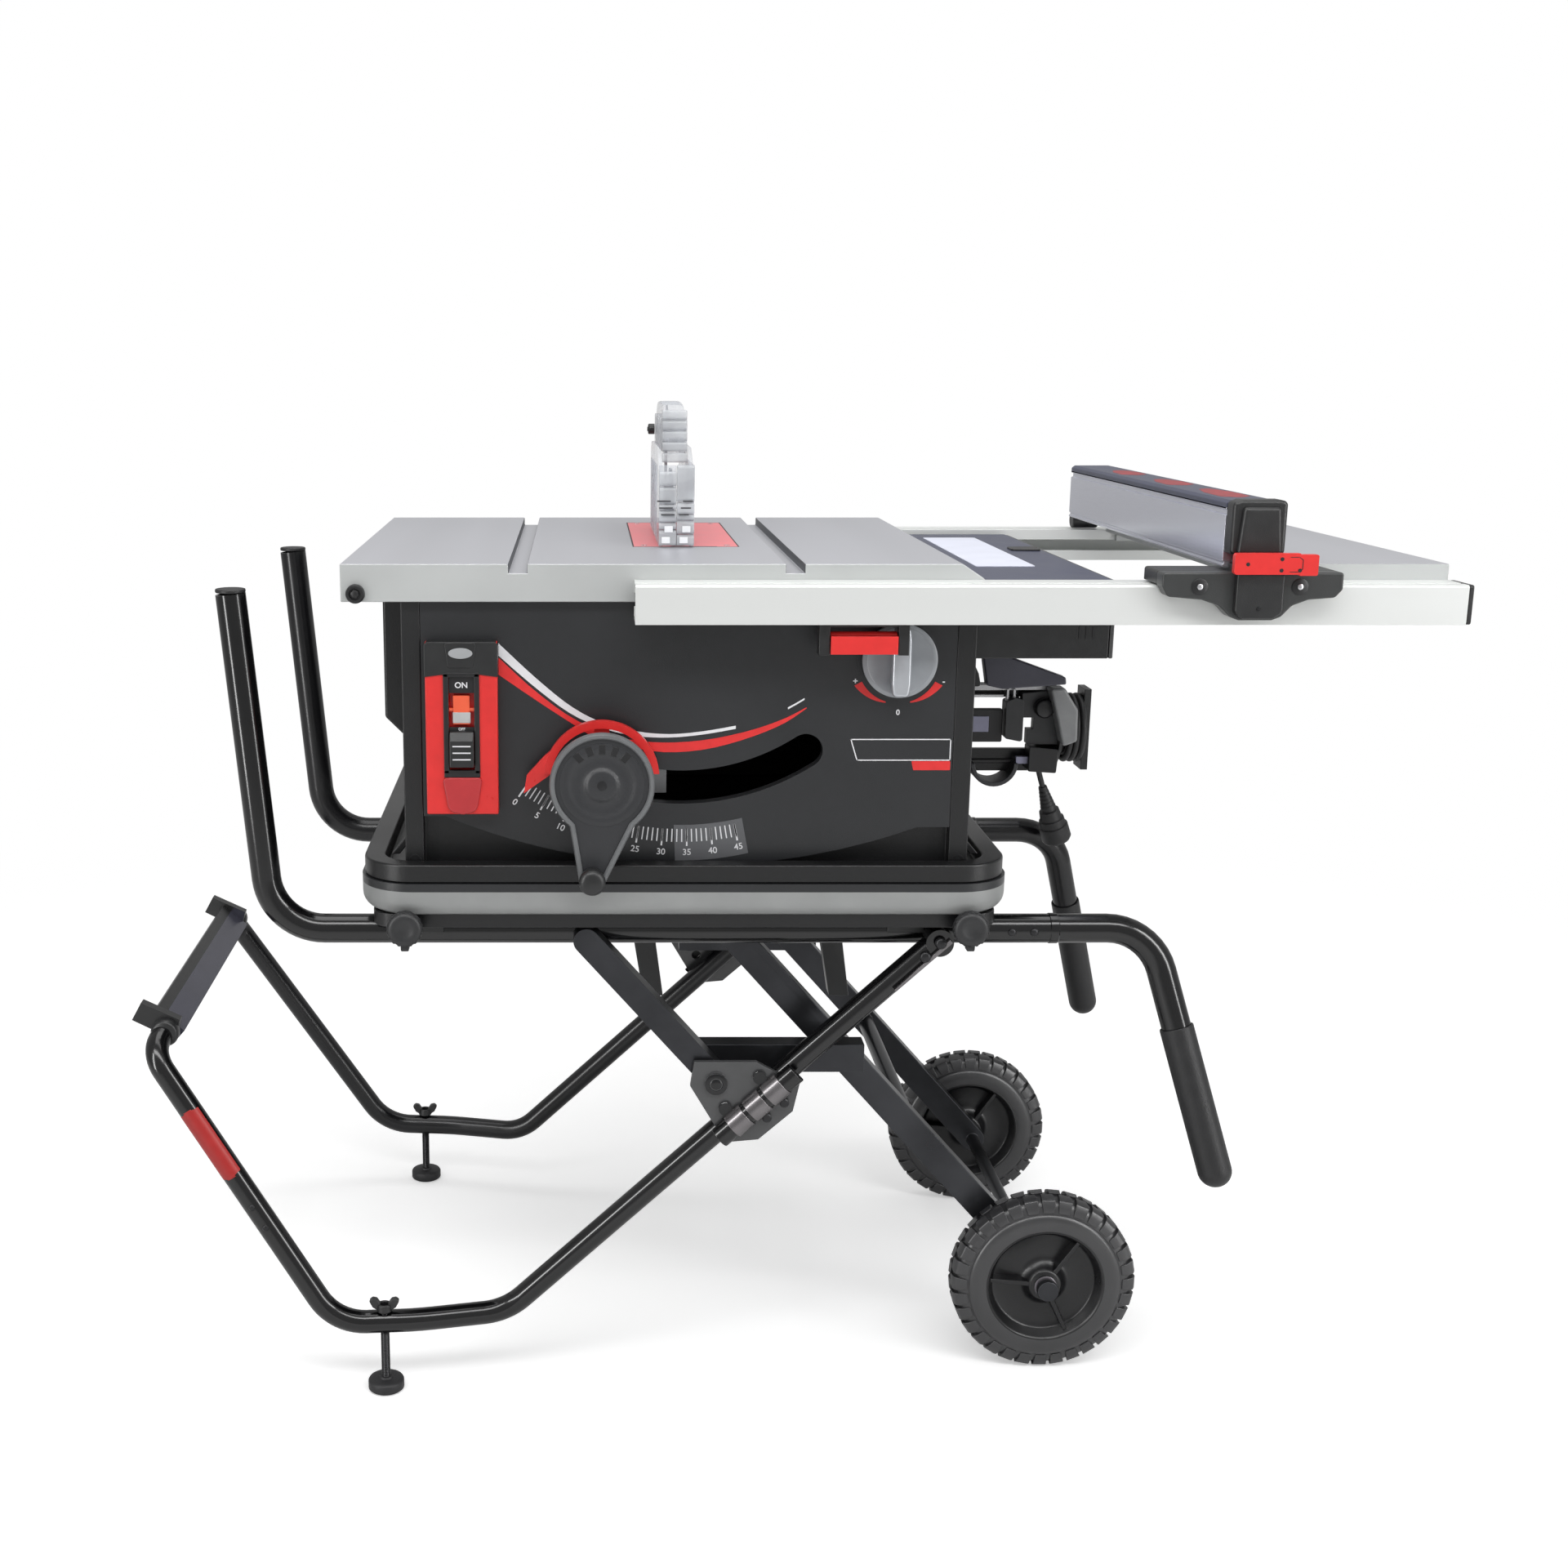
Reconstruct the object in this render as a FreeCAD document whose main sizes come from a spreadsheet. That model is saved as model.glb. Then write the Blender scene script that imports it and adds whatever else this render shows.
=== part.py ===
"""Portable table saw with a blade guard, a sliding rip extension and a folding wheeled stand.

All lengths are millimetres. While it is drawn, X = 0 lies near the middle of the table, Y = 0 is
the front face of the table and Z = 0 is the floor. Each finished sub-part is then moved by its
Placement, so that the origin of the part is under the middle of the whole machine.
"""
import FreeCAD, Part
import Sketcher
import math
import os

DIMENSIONS = [
    ("table_left", "-248", "left edge of the table top"),
    ("table_width", "637", "flat width of the table top"),
    ("table_bevel", "24", "width of the sloping right edge"),
    ("table_depth", "565", "front to back of the table top"),
    ("table_level", "922", "height of the working surface"),
    ("table_skirt", "39", "height of the table's outer walls"),
    ("table_slab", "14", "thickness of the top slab"),
    ("table_wall", "8", "thickness of the skirt"),
    ("mitre_slot", "19.4", "width of the mitre slots"),
    ("mitre_depth", "9.5", "depth of the mitre slots"),
    ("mitre_left", "-66", "middle of the left mitre slot"),
    ("mitre_right", "218", "middle of the right mitre slot"),
    ("insert_left", "57", "left edge of the throat insert"),
    ("insert_width", "117", "width of the throat insert"),
    ("insert_front", "178", "front edge of the throat insert"),
    ("insert_length", "307", "length of the throat insert"),
    ("insert_thick", "4", "thickness of the throat insert"),
    ("insert_ledge", "5", "ledge that carries the insert"),
    ("blade_plane", "104", "middle plane of the saw blade and axis of the tilt"),
    ("blade_radius", "127", "radius of the saw blade"),
    ("blade_rise", "79", "height of the raised blade over the table"),
    ("blade_centre", "320", "front-back place of the arbor"),
    ("blade_thick", "2.5", "thickness of the saw blade"),
    ("arbor_radius", "7.9", "radius of the arbor"),
    ("knife_thick", "2.2", "thickness of the riving knife"),
    ("guard_width", "39", "width over the two shields"),
    ("shield_thick", "5", "thickness of one shield"),
    ("fit", "0.4", "gap between pieces that move on each other"),
    ("seat", "0.3", "gap round a piece that is set in"),
    ("cabinet_left", "-188", "left face of the cabinet"),
    ("cabinet_width", "597", "width of the cabinet"),
    ("cabinet_front", "25", "front wall of the cabinet"),
    ("cabinet_back", "480", "rear face of the cabinet"),
    ("cabinet_wall", "4", "wall of the cabinet"),
    ("column_width", "20", "width of the front corner columns"),
    ("panel_front", "10", "front face of the control panel"),
    ("panel_curve", "675", "radius of the lower edge of the panel"),
    ("panel_low", "600.5", "lowest point of the panel"),
    ("panel_middle", "120", "where the lowest point lies"),
    ("base_left", "-237", "left side of the base"),
    ("base_width", "692", "width of the base"),
    ("base_front", "-20", "front of the base"),
    ("base_depth", "565", "depth of the base"),
    ("base_bottom", "536.4", "underside of the base"),
    ("pan_height", "51.6", "height of the grey lower base"),
    ("tray_height", "20", "height of the dark upper base"),
    ("tray_floor", "6", "floor thickness of the dark base"),
    ("base_corner", "58", "corner radius of the base"),
    ("tube_radius", "15.9", "outer radius of the stand's side tubes"),
    ("tube_level", "520", "axis height of the side tubes"),
    ("tube_near", "45", "plane of the front side tube"),
    ("stand_middle", "262.5", "middle plane of the stand"),
    ("prong_top", "886", "top end of the upright prongs"),
    ("prong_lean", "31", "sideways lean of the prongs"),
    ("prong_foot", "-338", "where the prongs meet the side tubes"),
    ("handle_start", "620", "where the side tubes turn down"),
    ("handle_reach", "68", "sideways reach of the handles"),
    ("handle_drop", "249.5", "drop of the handles"),
    ("handle_splay", "57", "outward splay of the handles"),
    ("bend_radius", "62", "bend radius of the tubes, on the axis"),
    ("grip_share", "0.42", "where the grip starts along the handle"),
    ("grip_wall", "2.4", "rubber over the handle tube"),
    ("leg_radius", "12.7", "outer radius of the leg tubes"),
    ("leg_plane", "13", "plane of the front foot leg"),
    ("leg_pivot", "382.6", "pivot of the foot legs on the side tube"),
    ("leg_angle", "43", "slope of the foot legs"),
    ("strut_pivot", "4.4", "pivot of the struts on the side tube"),
    ("wheel_pivot", "154.5", "pivot of the wheel legs on the side tube"),
    ("link_angle", "48.3", "slope of the struts and wheel legs"),
    ("link_length", "211", "pivot to pivot of the struts"),
    ("strut_drop", "2", "how far the folding pivots lie under the side tubes' axis"),
    ("wheel_arm", "554.6", "wheel leg, pivot to axle"),
    ("strut_width", "30", "width of the struts"),
    ("strut_thick", "25", "depth of the struts"),
    ("bar_height", "32", "height of the level links"),
    ("bar_offset", "13", "middle of the level links over their pivots"),
    ("wheel_radius", "104", "radius of the wheels"),
    ("wheel_width", "45", "width of the wheels"),
    ("hub_radius", "66", "radius of the wheel rim"),
    ("axle_radius", "8", "radius of the wheel axle"),
    ("foot_place", "-220", "where the levelling feet stand"),
    ("foot_splay", "28", "outward splay of the feet from the legs"),
    ("foot_level", "80", "axis height of the lower leg tubes"),
    ("foot_pad", "20", "radius of a levelling foot"),
    ("rail_left", "53", "left end of the fence rails"),
    ("rail_length", "833", "length of the fence rails"),
    ("rail_depth", "47", "front to back of a rail"),
    ("rail_low", "866", "underside of the rails"),
    ("rail_height", "40", "height of the rails"),
    ("rail_wall", "3", "wall of the rails"),
    ("rail_slot", "14", "slot in the inner wall of a rail"),
    ("wing_left", "690", "left edge of the extension wing"),
    ("wing_width", "195", "width of the extension wing"),
    ("wing_thick", "18.5", "thickness of the extension wing"),
    ("fence_left", "640", "left face of the rip fence"),
    ("fence_width", "54", "width of the rip fence"),
    ("fence_height", "66", "height of the rip fence"),
    ("fence_lift", "1.6", "gap under the rip fence"),
    ("head_left", "551", "left end of the fence head"),
    ("head_width", "198", "width of the fence head"),
    ("wheel_offset", "-83.9", "handwheel from the tilt axis, sideways"),
    ("wheel_drop", "-220.6", "handwheel from the tilt axis, upwards"),
    ("handwheel_radius", "54", "radius of the handwheel ring"),
    ("port_radius", "31.75", "outer radius of the dust port"),
    ("shaft_radius", "6", "radius of the handwheel shaft"),
    ("guide_radius", "8", "radius of the posts that the saw unit rises on"),
    ("slot_width", "36", "width of the curved tilt slot"),
    ("drawer_left", "413.4", "left side of the storage case"),
    ("drawer_right", "558", "right side of the storage case"),
    ("drawer_front", "40", "front of the storage case"),
    ("drawer_gap", "9", "from the back of the storage case to the table's rear edge"),
    ("drawer_low", "818", "underside of the storage case"),
    ("drawer_top", "900", "top of the storage case"),
    ("wrap_core", "26", "radius of the core that the cord is wound on"),
    ("wrap_disc", "3", "thickness of the cord wrap's inner disc"),
    ("winding_width", "29", "width of the wound cord"),
    ("cord_radius", "3.5", "radius of the power cord"),
]

doc = FreeCAD.newDocument("table_saw")
sheet = doc.addObject("Spreadsheet::Sheet", "Sizes")
for row, (alias, number, note) in enumerate(DIMENSIONS, start=1):
    sheet.set(f"A{row}", number)
    sheet.setAlias(f"A{row}", alias)
    sheet.set(f"B{row}", note)
doc.recompute()


class Size:
    """A number together with the sheet expression that it comes from."""

    def __init__(self, text, value):
        self.text = text
        self.value = value

    def __add__(self, other):
        return combine(self, "+", other)

    def __radd__(self, other):
        return combine(other, "+", self)

    def __sub__(self, other):
        return combine(self, "-", other)

    def __rsub__(self, other):
        return combine(other, "-", self)

    def __mul__(self, other):
        return combine(self, "*", other)

    def __rmul__(self, other):
        return combine(other, "*", self)

    def __truediv__(self, other):
        return combine(self, "/", other)

    def __neg__(self):
        return combine(0, "-", self)


def as_size(item):
    return item if isinstance(item, Size) else Size(repr(float(item)), float(item))


def combine(first, sign, second):
    first, second = as_size(first), as_size(second)
    if sign == "+":
        value = first.value + second.value
    elif sign == "-":
        value = first.value - second.value
    elif sign == "*":
        value = first.value * second.value
    else:
        value = first.value / second.value
    return Size(f"({first.text} {sign} {second.text})", value)


def sine(angle):
    return Size(f"sin({angle.text} * 1deg)", math.sin(math.radians(angle.value)))


def cosine(angle):
    return Size(f"cos({angle.text} * 1deg)", math.cos(math.radians(angle.value)))


class Dimensions:
    """Named access to the driving dimensions in the sheet."""

    def __getattr__(self, alias):
        return Size(f"Sizes.{alias}", float(sheet.get(alias)))


d = Dimensions()
ROTATIONS = {
    "X": FreeCAD.Rotation(FreeCAD.Vector(0, 1, 0), 90),
    "Y": FreeCAD.Rotation(FreeCAD.Vector(1, 0, 0), -90),
    "Z": FreeCAD.Rotation(),
}
NODES = []


# ---------------------------------------------------------------- drawing helpers

def bind(item, prop, value):
    """Ties a property to the sheet."""
    item.setExpression(prop, as_size(value).text)


def put(item, x, y, z):
    bind(item, "Placement.Base.x", x)
    bind(item, "Placement.Base.y", y)
    bind(item, "Placement.Base.z", z)
    return item


def box(x0, x1, y0, y1, z0, z1):
    """A block between two corners."""
    item = doc.addObject("Part::Box", "Block")
    bind(item, "Length", as_size(x1) - x0)
    bind(item, "Width", as_size(y1) - y0)
    bind(item, "Height", as_size(z1) - z0)
    return put(item, x0, y0, z0)


def rod(axis, x, y, z, radius, length):
    """A cylinder that starts at a point and runs along +X, +Y or +Z."""
    item = doc.addObject("Part::Cylinder", "Rod")
    bind(item, "Radius", radius)
    bind(item, "Height", length)
    item.Placement = FreeCAD.Placement(FreeCAD.Vector(), ROTATIONS[axis])
    return put(item, x, y, z)


def cone(axis, x, y, z, radius, end_radius, length):
    item = doc.addObject("Part::Cone", "Taper")
    bind(item, "Radius1", radius)
    bind(item, "Radius2", end_radius)
    bind(item, "Height", length)
    item.Placement = FreeCAD.Placement(FreeCAD.Vector(), ROTATIONS[axis])
    return put(item, x, y, z)


def fuse(*items):
    if len(items) == 1:
        return items[0]
    item = doc.addObject("Part::MultiFuse", "Joined")
    item.Shapes = list(items)
    item.Refine = True
    return item


def cut(base, *tools):
    item = doc.addObject("Part::Cut", "Hollowed")
    item.Base = base
    item.Tool = fuse(*tools)
    item.Refine = True
    return item


def common(first, second):
    item = doc.addObject("Part::Common", "Shared")
    item.Base = first
    item.Tool = second
    item.Refine = True
    return item


def group(*items):
    """Several separate pieces in one sub-part."""
    item = doc.addObject("Part::Compound", "Group")
    item.Links = list(items)
    return item


def slab(plane, outline, low, high):
    """A sketched outline, padded between two levels along the plane's axis."""
    body = doc.addObject("PartDesign::Body", "Body")
    sketch = body.newObject("Sketcher::SketchObject", "Outline")
    origin = next(o for o in body.Origin.OriginFeatures if o.Role == f"{plane}_Plane")
    sketch.AttachmentSupport = [(origin, "")]
    sketch.MapMode = "FlatFace"
    flipped = plane == "XZ"
    bind(sketch, "AttachmentOffset.Base.z", -as_size(low) if flipped else low)
    points = [FreeCAD.Vector(as_size(u).value, as_size(v).value, 0) for u, v in outline]
    for start, end in zip(points, points[1:] + points[:1]):
        sketch.addGeometry(Part.LineSegment(start, end))
    count = len(points)
    for index in range(count):
        sketch.addConstraint(Sketcher.Constraint("Coincident", index, 2, (index + 1) % count, 1))
    for index, (u, v) in enumerate(outline):
        for kind, value in (("DistanceX", as_size(u)), ("DistanceY", as_size(v))):
            number = sketch.addConstraint(Sketcher.Constraint(kind, -1, 1, index, 1, value.value))
            sketch.renameConstraint(number, f"{kind}{index}")
            if "Sizes" in value.text:
                sketch.setExpression(f"Constraints.{kind}{index}", value.text)
    pad = body.newObject("PartDesign::Pad", "Pad")
    pad.Profile = sketch
    bind(pad, "Length", as_size(high) - low)
    pad.Reversed = flipped
    return body


def rounded(x0, x1, y0, y1, z0, z1, radius):
    """A block with upright rounded corners."""
    x0, x1, y0, y1 = as_size(x0), as_size(x1), as_size(y0), as_size(y1)
    height = as_size(z1) - z0
    pieces = [box(x0 + radius, x1 - radius, y0, y1, z0, z1), box(x0, x1, y0 + radius, y1 - radius, z0, z1)]
    for x in (x0 + radius, x1 - radius):
        for y in (y0 + radius, y1 - radius):
            pieces.append(rod("Z", x, y, z0, radius, height))
    return fuse(*pieces)


def sector(x, z, y, radius, length, start, sweep):
    """Part of a cylinder along +Y; angles are counted from straight down towards +X."""
    item = doc.addObject("Part::Cylinder", "Sector")
    bind(item, "Radius", radius)
    bind(item, "Height", length)
    item.Angle = sweep
    turn = FreeCAD.Rotation(FreeCAD.Vector(0, 1, 0), 90 - start - sweep)
    item.Placement = FreeCAD.Placement(FreeCAD.Vector(), turn.multiply(ROTATIONS["Y"]))
    return put(item, x, y, z)


def pipe_shape(points, radius, bends, hollow=0.0):
    """A round tube along straight runs joined by tangent arcs."""
    corners = [FreeCAD.Vector(*(as_size(c).value for c in p)) for p in points]
    bends = bends if isinstance(bends, list) else [bends] * (len(corners) - 2)
    edges = []
    start = corners[0]
    for before, corner, after, bend in zip(corners, corners[1:], corners[2:], bends):
        into = (before - corner).normalize()
        out = (after - corner).normalize()
        half = into.getAngle(out) / 2
        reach = bend / math.tan(half)
        first = corner + into * reach
        last = corner + out * reach
        middle = (into + out).normalize()
        centre = corner + middle * (bend / math.sin(half))
        edges.append(Part.LineSegment(start, first).toShape())
        edges.append(Part.Arc(first, centre - middle * bend, last).toShape())
        start = last
    edges.append(Part.LineSegment(start, corners[-1]).toShape())
    path = Part.Wire(edges)
    heading = corners[1] - corners[0]
    ring = Part.Wire(Part.Circle(corners[0], heading, radius).toShape())
    solid = path.makePipeShell([ring], True, False)
    if hollow:
        inner = Part.Wire(Part.Circle(corners[0], heading, hollow).toShape())
        solid = solid.cut(path.makePipeShell([inner], True, False))
    return solid


def feature(shape):
    item = doc.addObject("Part::Feature", "Shape")
    item.Shape = shape
    return item


def keep(label, item):
    """Names a finished sub-part and moves it into the frame of the whole machine."""
    if item.TypeId in ("Part::Box", "Part::Cylinder", "Part::Cone"):
        item = group(item)
    item.Label = label
    bind(item, "Placement.Base.x", -origin_x)
    bind(item, "Placement.Base.y", -origin_y)
    NODES.append((label, item))
    return item


def mirror_y(y0, y1):
    """The same span on the rear side of the stand."""
    return 2 * d.stand_middle - y1, 2 * d.stand_middle - y0


# ---------------------------------------------------------------- levels worked out from the sheet

crossbar_reach = as_size(-490)
rail_right = d.rail_left + d.rail_length
origin_x = (rail_right + crossbar_reach - 9) / 2
origin_y = as_size(d.stand_middle)
slab_low = d.table_level - d.table_slab
skirt_low = d.table_level - d.table_skirt
table_right = d.table_left + d.table_width
cabinet_right = d.cabinet_left + d.cabinet_width
pan_top = d.base_bottom + d.pan_height
tray_top = pan_top + d.tray_height
tray_seat = pan_top + d.tray_floor
base_right = d.base_left + d.base_width
base_back = d.base_front + d.base_depth
arbor_level = d.table_level + d.blade_rise - d.blade_radius
tube_far = 2 * d.stand_middle - d.tube_near
shield_left = d.blade_plane - d.guard_width / 2
shield_right = d.blade_plane + d.guard_width / 2


def table_top():
    outer = box(d.table_left, table_right, 0, d.table_depth, skirt_low, d.table_level)
    edge = slab("XZ", [
        (table_right - 1, skirt_low),
        (table_right + d.table_bevel, skirt_low),
        (table_right + d.table_bevel, d.table_level - 17),
        (table_right + d.table_bevel - 3, d.table_level - 14),
        (table_right, d.table_level),
        (table_right - 1, d.table_level),
    ], 0, d.table_depth)
    pocket = box(d.table_left + d.table_wall, table_right + d.table_bevel - d.table_wall,
                 d.table_wall, d.table_depth - d.table_wall, skirt_low - 1, slab_low - 3)
    half = d.mitre_slot / 2
    slots = [box(x - half, x + half, -1, d.table_depth + 1, d.table_level - d.mitre_depth, d.table_level + 1)
             for x in (d.mitre_left, d.mitre_right)]
    insert_right = d.insert_left + d.insert_width
    insert_back = d.insert_front + d.insert_length
    throat = box(d.insert_left + d.insert_ledge, insert_right - d.insert_ledge,
                 d.insert_front + d.insert_ledge, insert_back - d.insert_ledge, skirt_low, d.table_level + 1)
    recess = box(d.insert_left - d.seat, insert_right + d.seat, d.insert_front - d.seat,
                 insert_back + d.seat, d.table_level - d.insert_thick, d.table_level + 1)
    keep("table_top", cut(fuse(outer, edge), pocket, throat, recess, *slots))


def throat_insert():
    insert_back = d.insert_front + d.insert_length
    plate = box(d.insert_left, d.insert_left + d.insert_width, d.insert_front, insert_back,
                d.table_level - d.insert_thick, d.table_level)
    slot = box(d.blade_plane - 4.6, d.blade_plane + 10, d.insert_front + 9, insert_back - 6,
               d.table_level - d.insert_thick - 1, d.table_level + 1)
    keep("throat_insert", cut(plate, slot))


def guide_blocks():
    """Bearing blocks on the table's front and rear walls, inside the sliding rails."""
    middle = d.rail_low + d.rail_height / 2
    half = d.rail_height / 2 - d.rail_wall - d.fit
    pieces = []
    for x in (105, 330):
        for side in (-1, 1):
            edge = 0 if side < 0 else d.table_depth
            reach = side * (d.rail_depth - d.rail_wall - d.fit)
            near = side * (d.rail_wall + 2 * d.fit + 0.4)
            low, high = (edge + reach, edge + near) if side < 0 else (edge + near, edge + reach)
            block = box(x - 22, x + 22, low, high, middle - half, middle + half)
            low, high = (edge + near - 2, edge) if side < 0 else (edge, edge + near + 2)
            neck = box(x - 22, x + 22, low, high, middle - d.rail_slot / 2 + d.fit, middle + d.rail_slot / 2 - d.fit)
            pieces.append(fuse(block, neck))
    keep("rail_guides", group(*pieces))


def tilt_slot(y, length, extra):
    """The curved slot that the handwheel shaft runs along, centred on the tilt axis."""
    middle = Size("sqrt(pow(Sizes.wheel_offset; 2) + pow(Sizes.wheel_drop; 2))",
                  math.hypot(d.wheel_offset.value, d.wheel_drop.value))
    half = d.slot_width / 2 + extra
    first, last = -26, 33.5
    ring = cut(sector(d.blade_plane, d.table_level, y, middle + half, length, first, last - first),
               rod("Y", d.blade_plane, y - 1, d.table_level, middle - half, length + 2))
    ends = []
    for angle in (first, last):
        x = d.blade_plane + middle * math.sin(math.radians(angle))
        z = d.table_level - middle * math.cos(math.radians(angle))
        ends.append(rod("Y", x, y, z, half, length))
    return fuse(ring, *ends)


def cabinet_shell():
    outer = box(d.cabinet_left, cabinet_right, d.cabinet_front, d.cabinet_back, tray_seat, skirt_low)
    wall = d.cabinet_wall
    inner = box(d.cabinet_left + wall, cabinet_right - wall, d.cabinet_front + wall,
                d.cabinet_back - wall, tray_seat - 1, skirt_low + 1)
    columns = []
    for low in (d.cabinet_left, cabinet_right - d.column_width):
        columns.append(box(low, low + d.column_width, d.panel_front, d.cabinet_front + wall, tray_seat, skirt_low))
    dust = rod("Y", dust_x, d.cabinet_back - wall - 1, dust_z, d.port_radius - 3, wall + 62)
    port = fuse(rod("Y", dust_x, d.cabinet_back, dust_z, 40, 6),
                rod("Y", dust_x, d.cabinet_back, dust_z, d.port_radius, 60))
    window = box(d.blade_plane - 142, d.blade_plane + 170, d.cabinet_front - 1, d.cabinet_front + wall + 1,
                 d.table_level - 272, d.table_level - 158)
    shell = cut(fuse(outer, port, *columns), inner, dust, window)
    keep("cabinet_shell", shell)


def front_panel():
    left = d.cabinet_left + d.column_width + d.seat
    right = cabinet_right - d.column_width - d.seat
    board = box(left, right, d.panel_front, d.cabinet_front, d.panel_low, skirt_low)
    depth = d.cabinet_front - d.panel_front
    curve = rod("Y", d.panel_middle, d.panel_front - 1, d.panel_low + d.panel_curve, d.panel_curve, depth + 2)
    low_left = box(left, d.cabinet_left + 57, d.panel_front, d.cabinet_front, d.panel_low + 54, skirt_low)
    low_right = box(cabinet_right - 56, right, d.panel_front, d.cabinet_front, d.panel_low + 42, skirt_low)
    slot = tilt_slot(d.panel_front - 1, depth + 2, 0)
    knob_hole = rod("Y", micro_x, d.panel_front - 1, micro_z, 5.05, depth + 2)
    keep("front_panel", cut(fuse(common(board, curve), low_left, low_right), slot, knob_hole))


def base():
    pan = rounded(d.base_left, base_right, d.base_front, base_back, d.base_bottom, pan_top, d.base_corner)
    hollow = rounded(d.base_left + 12, base_right - 12, d.base_front + 12, base_back - 12,
                     d.base_bottom - 1, pan_top - 8, d.base_corner - 12)
    keep("base_pan", cut(pan, hollow))
    tray = rounded(d.base_left + 3, base_right - 3, d.base_front + 3, base_back - 3,
                   pan_top, tray_top, d.base_corner - 3)
    pocket = rounded(d.base_left + 26, base_right - 26, d.base_front + 24, base_back - 20,
                     tray_seat, tray_top + 1, d.base_corner - 26)
    keep("base_tray", cut(tray, pocket))


def side_box():
    left = d.cabinet_left - 30
    outline = [
        (d.cabinet_left, skirt_low - 1),
        (left, skirt_low - 1),
        (left, skirt_low - 143),
        (left + 20, skirt_low - 163),
        (d.cabinet_left, skirt_low - 163),
    ]
    keep("side_box", slab("XZ", outline, 120, 400))


def storage():
    left, right = d.drawer_left, d.drawer_right
    back = d.table_depth - d.drawer_gap
    wall = 3
    case = box(left, right - 4, d.drawer_front, back, d.drawer_low, d.drawer_top)
    inner = box(left + wall, right, d.drawer_front + wall, back - wall,
                d.drawer_low + wall, d.drawer_top - wall)
    keep("storage_case", cut(case, inner))
    gap = wall + d.fit + 0.2
    body = box(left + gap + 2, right - 3.4, d.drawer_front + gap, back - gap,
               d.drawer_low + gap, d.drawer_top - gap - 2)
    cave = box(left + gap + 5, right - 7, d.drawer_front + gap + 3, back - gap - 3,
               d.drawer_low + gap + 3, d.drawer_top)
    face = rounded(right - 3.4, right + 1, d.drawer_front, back, d.drawer_low, d.drawer_top, 2)
    keep("storage_drawer", fuse(cut(body, cave), face))


def switch():
    left, right, low, top = -162.8, -87.8, 660, 842
    front = d.panel_front - 15
    plate = box(left, right, front, d.panel_front, low, top)
    window = box(-138.5, -112, front - 1, front + 11, 708, 806)
    keep("switch_plate", cut(plate, window))
    pin = rod("X", -138.2, front + 5, 771, 2, 25.9)
    keep("switch_rocker", fuse(box(-134, -117, front + 2, front + 8, 756, 786), pin))
    paddle = slab("YZ", [
        (front + 10.6, 712), (front + 10.6, 749), (front - 4, 749), (front - 9, 740), (front - 9, 712),
    ], -137.9, -112.6)
    keep("switch_paddle", paddle)


def micro_knob():
    y = d.panel_front - 17
    disc = rod("Y", micro_x, y + 4, micro_z, 38.8, 12.6)
    grip = box(micro_x - 9, micro_x + 9, y - 9, y + 5, micro_z - 37, micro_z + 37)
    shaft = rod("Y", micro_x, y + 12, micro_z, 5, 19)
    keep("micro_knob", fuse(disc, grip, shaft))


def lock_lever():
    y0, z0 = d.panel_front - 48, 844
    shelf_low = d.rail_low - 4
    ears = [box(x, x + 11, y0 + 3, y0 + 20, z0 - 11, shelf_low + 1) for x in (239.5, 320)]
    shelf = box(239.5, 331, y0 + 3, d.panel_front, shelf_low, shelf_low + 3)
    pin = rod("X", 245, y0 + 13, z0 + 6, 3, 80)
    keep("lever_bracket", fuse(*ears, shelf, pin))
    paddle = box(251.3, 319.3, y0, y0 + 8, z0 - 9.5, z0 + 9)
    barrel = rod("X", 251.3, y0 + 13, z0 + 6, 6.5, 68)
    web = box(251.3, 319.3, y0 + 4, y0 + 12, z0 + 1, z0 + 9)
    bore = rod("X", 250, y0 + 13, z0 + 6, 3.06, 72)
    keep("lock_lever", cut(fuse(paddle, barrel, web), bore))


# ---------------------------------------------------------------- sliding extension and fence

def rail(front, side):
    """A hollow rail with a slot in its inner wall."""
    back = front + d.rail_depth
    top = d.rail_low + d.rail_height
    wall = d.rail_wall
    middle = d.rail_low + d.rail_height / 2
    outer = box(d.rail_left, rail_right, front, back, d.rail_low, top)
    inner = box(d.rail_left - 1, rail_right + 1, front + wall, back - wall, d.rail_low + wall, top - wall)
    low, high = (back - wall - 1, back + 1) if side < 0 else (front - 1, front + wall + 1)
    slot = box(d.rail_left - 1, rail_right + 1, low, high, middle - d.rail_slot / 2, middle + d.rail_slot / 2)
    return cut(outer, inner, slot)


def extension():
    near = -d.rail_depth - d.fit
    far = d.table_depth + d.fit
    top = d.rail_low + d.rail_height
    for label, y, side in (("front_rail", near, -1), ("rear_rail", far, 1)):
        cap = box(rail_right, rail_right + 5, y, y + d.rail_depth, d.rail_low, top)
        keep(label, fuse(rail(y, side), cap))
    low = d.table_level - d.wing_thick
    right = d.wing_left + d.wing_width
    wing = box(d.wing_left, right, 0, d.table_depth, low, d.table_level)
    hollow = box(d.wing_left + 10, right - 10, 10, d.table_depth - 10, low - 1, d.table_level - 6)
    lugs = []
    for x in (d.wing_left + 12, right - 52):
        for y0, y1 in ((-d.fit, 8), (d.table_depth - 8, d.table_depth + d.fit)):
            lugs.append(box(x, x + 40, y0, y1, d.rail_low + 26, low + 2))
    keep("extension_wing", fuse(cut(wing, hollow), *lugs))


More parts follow.
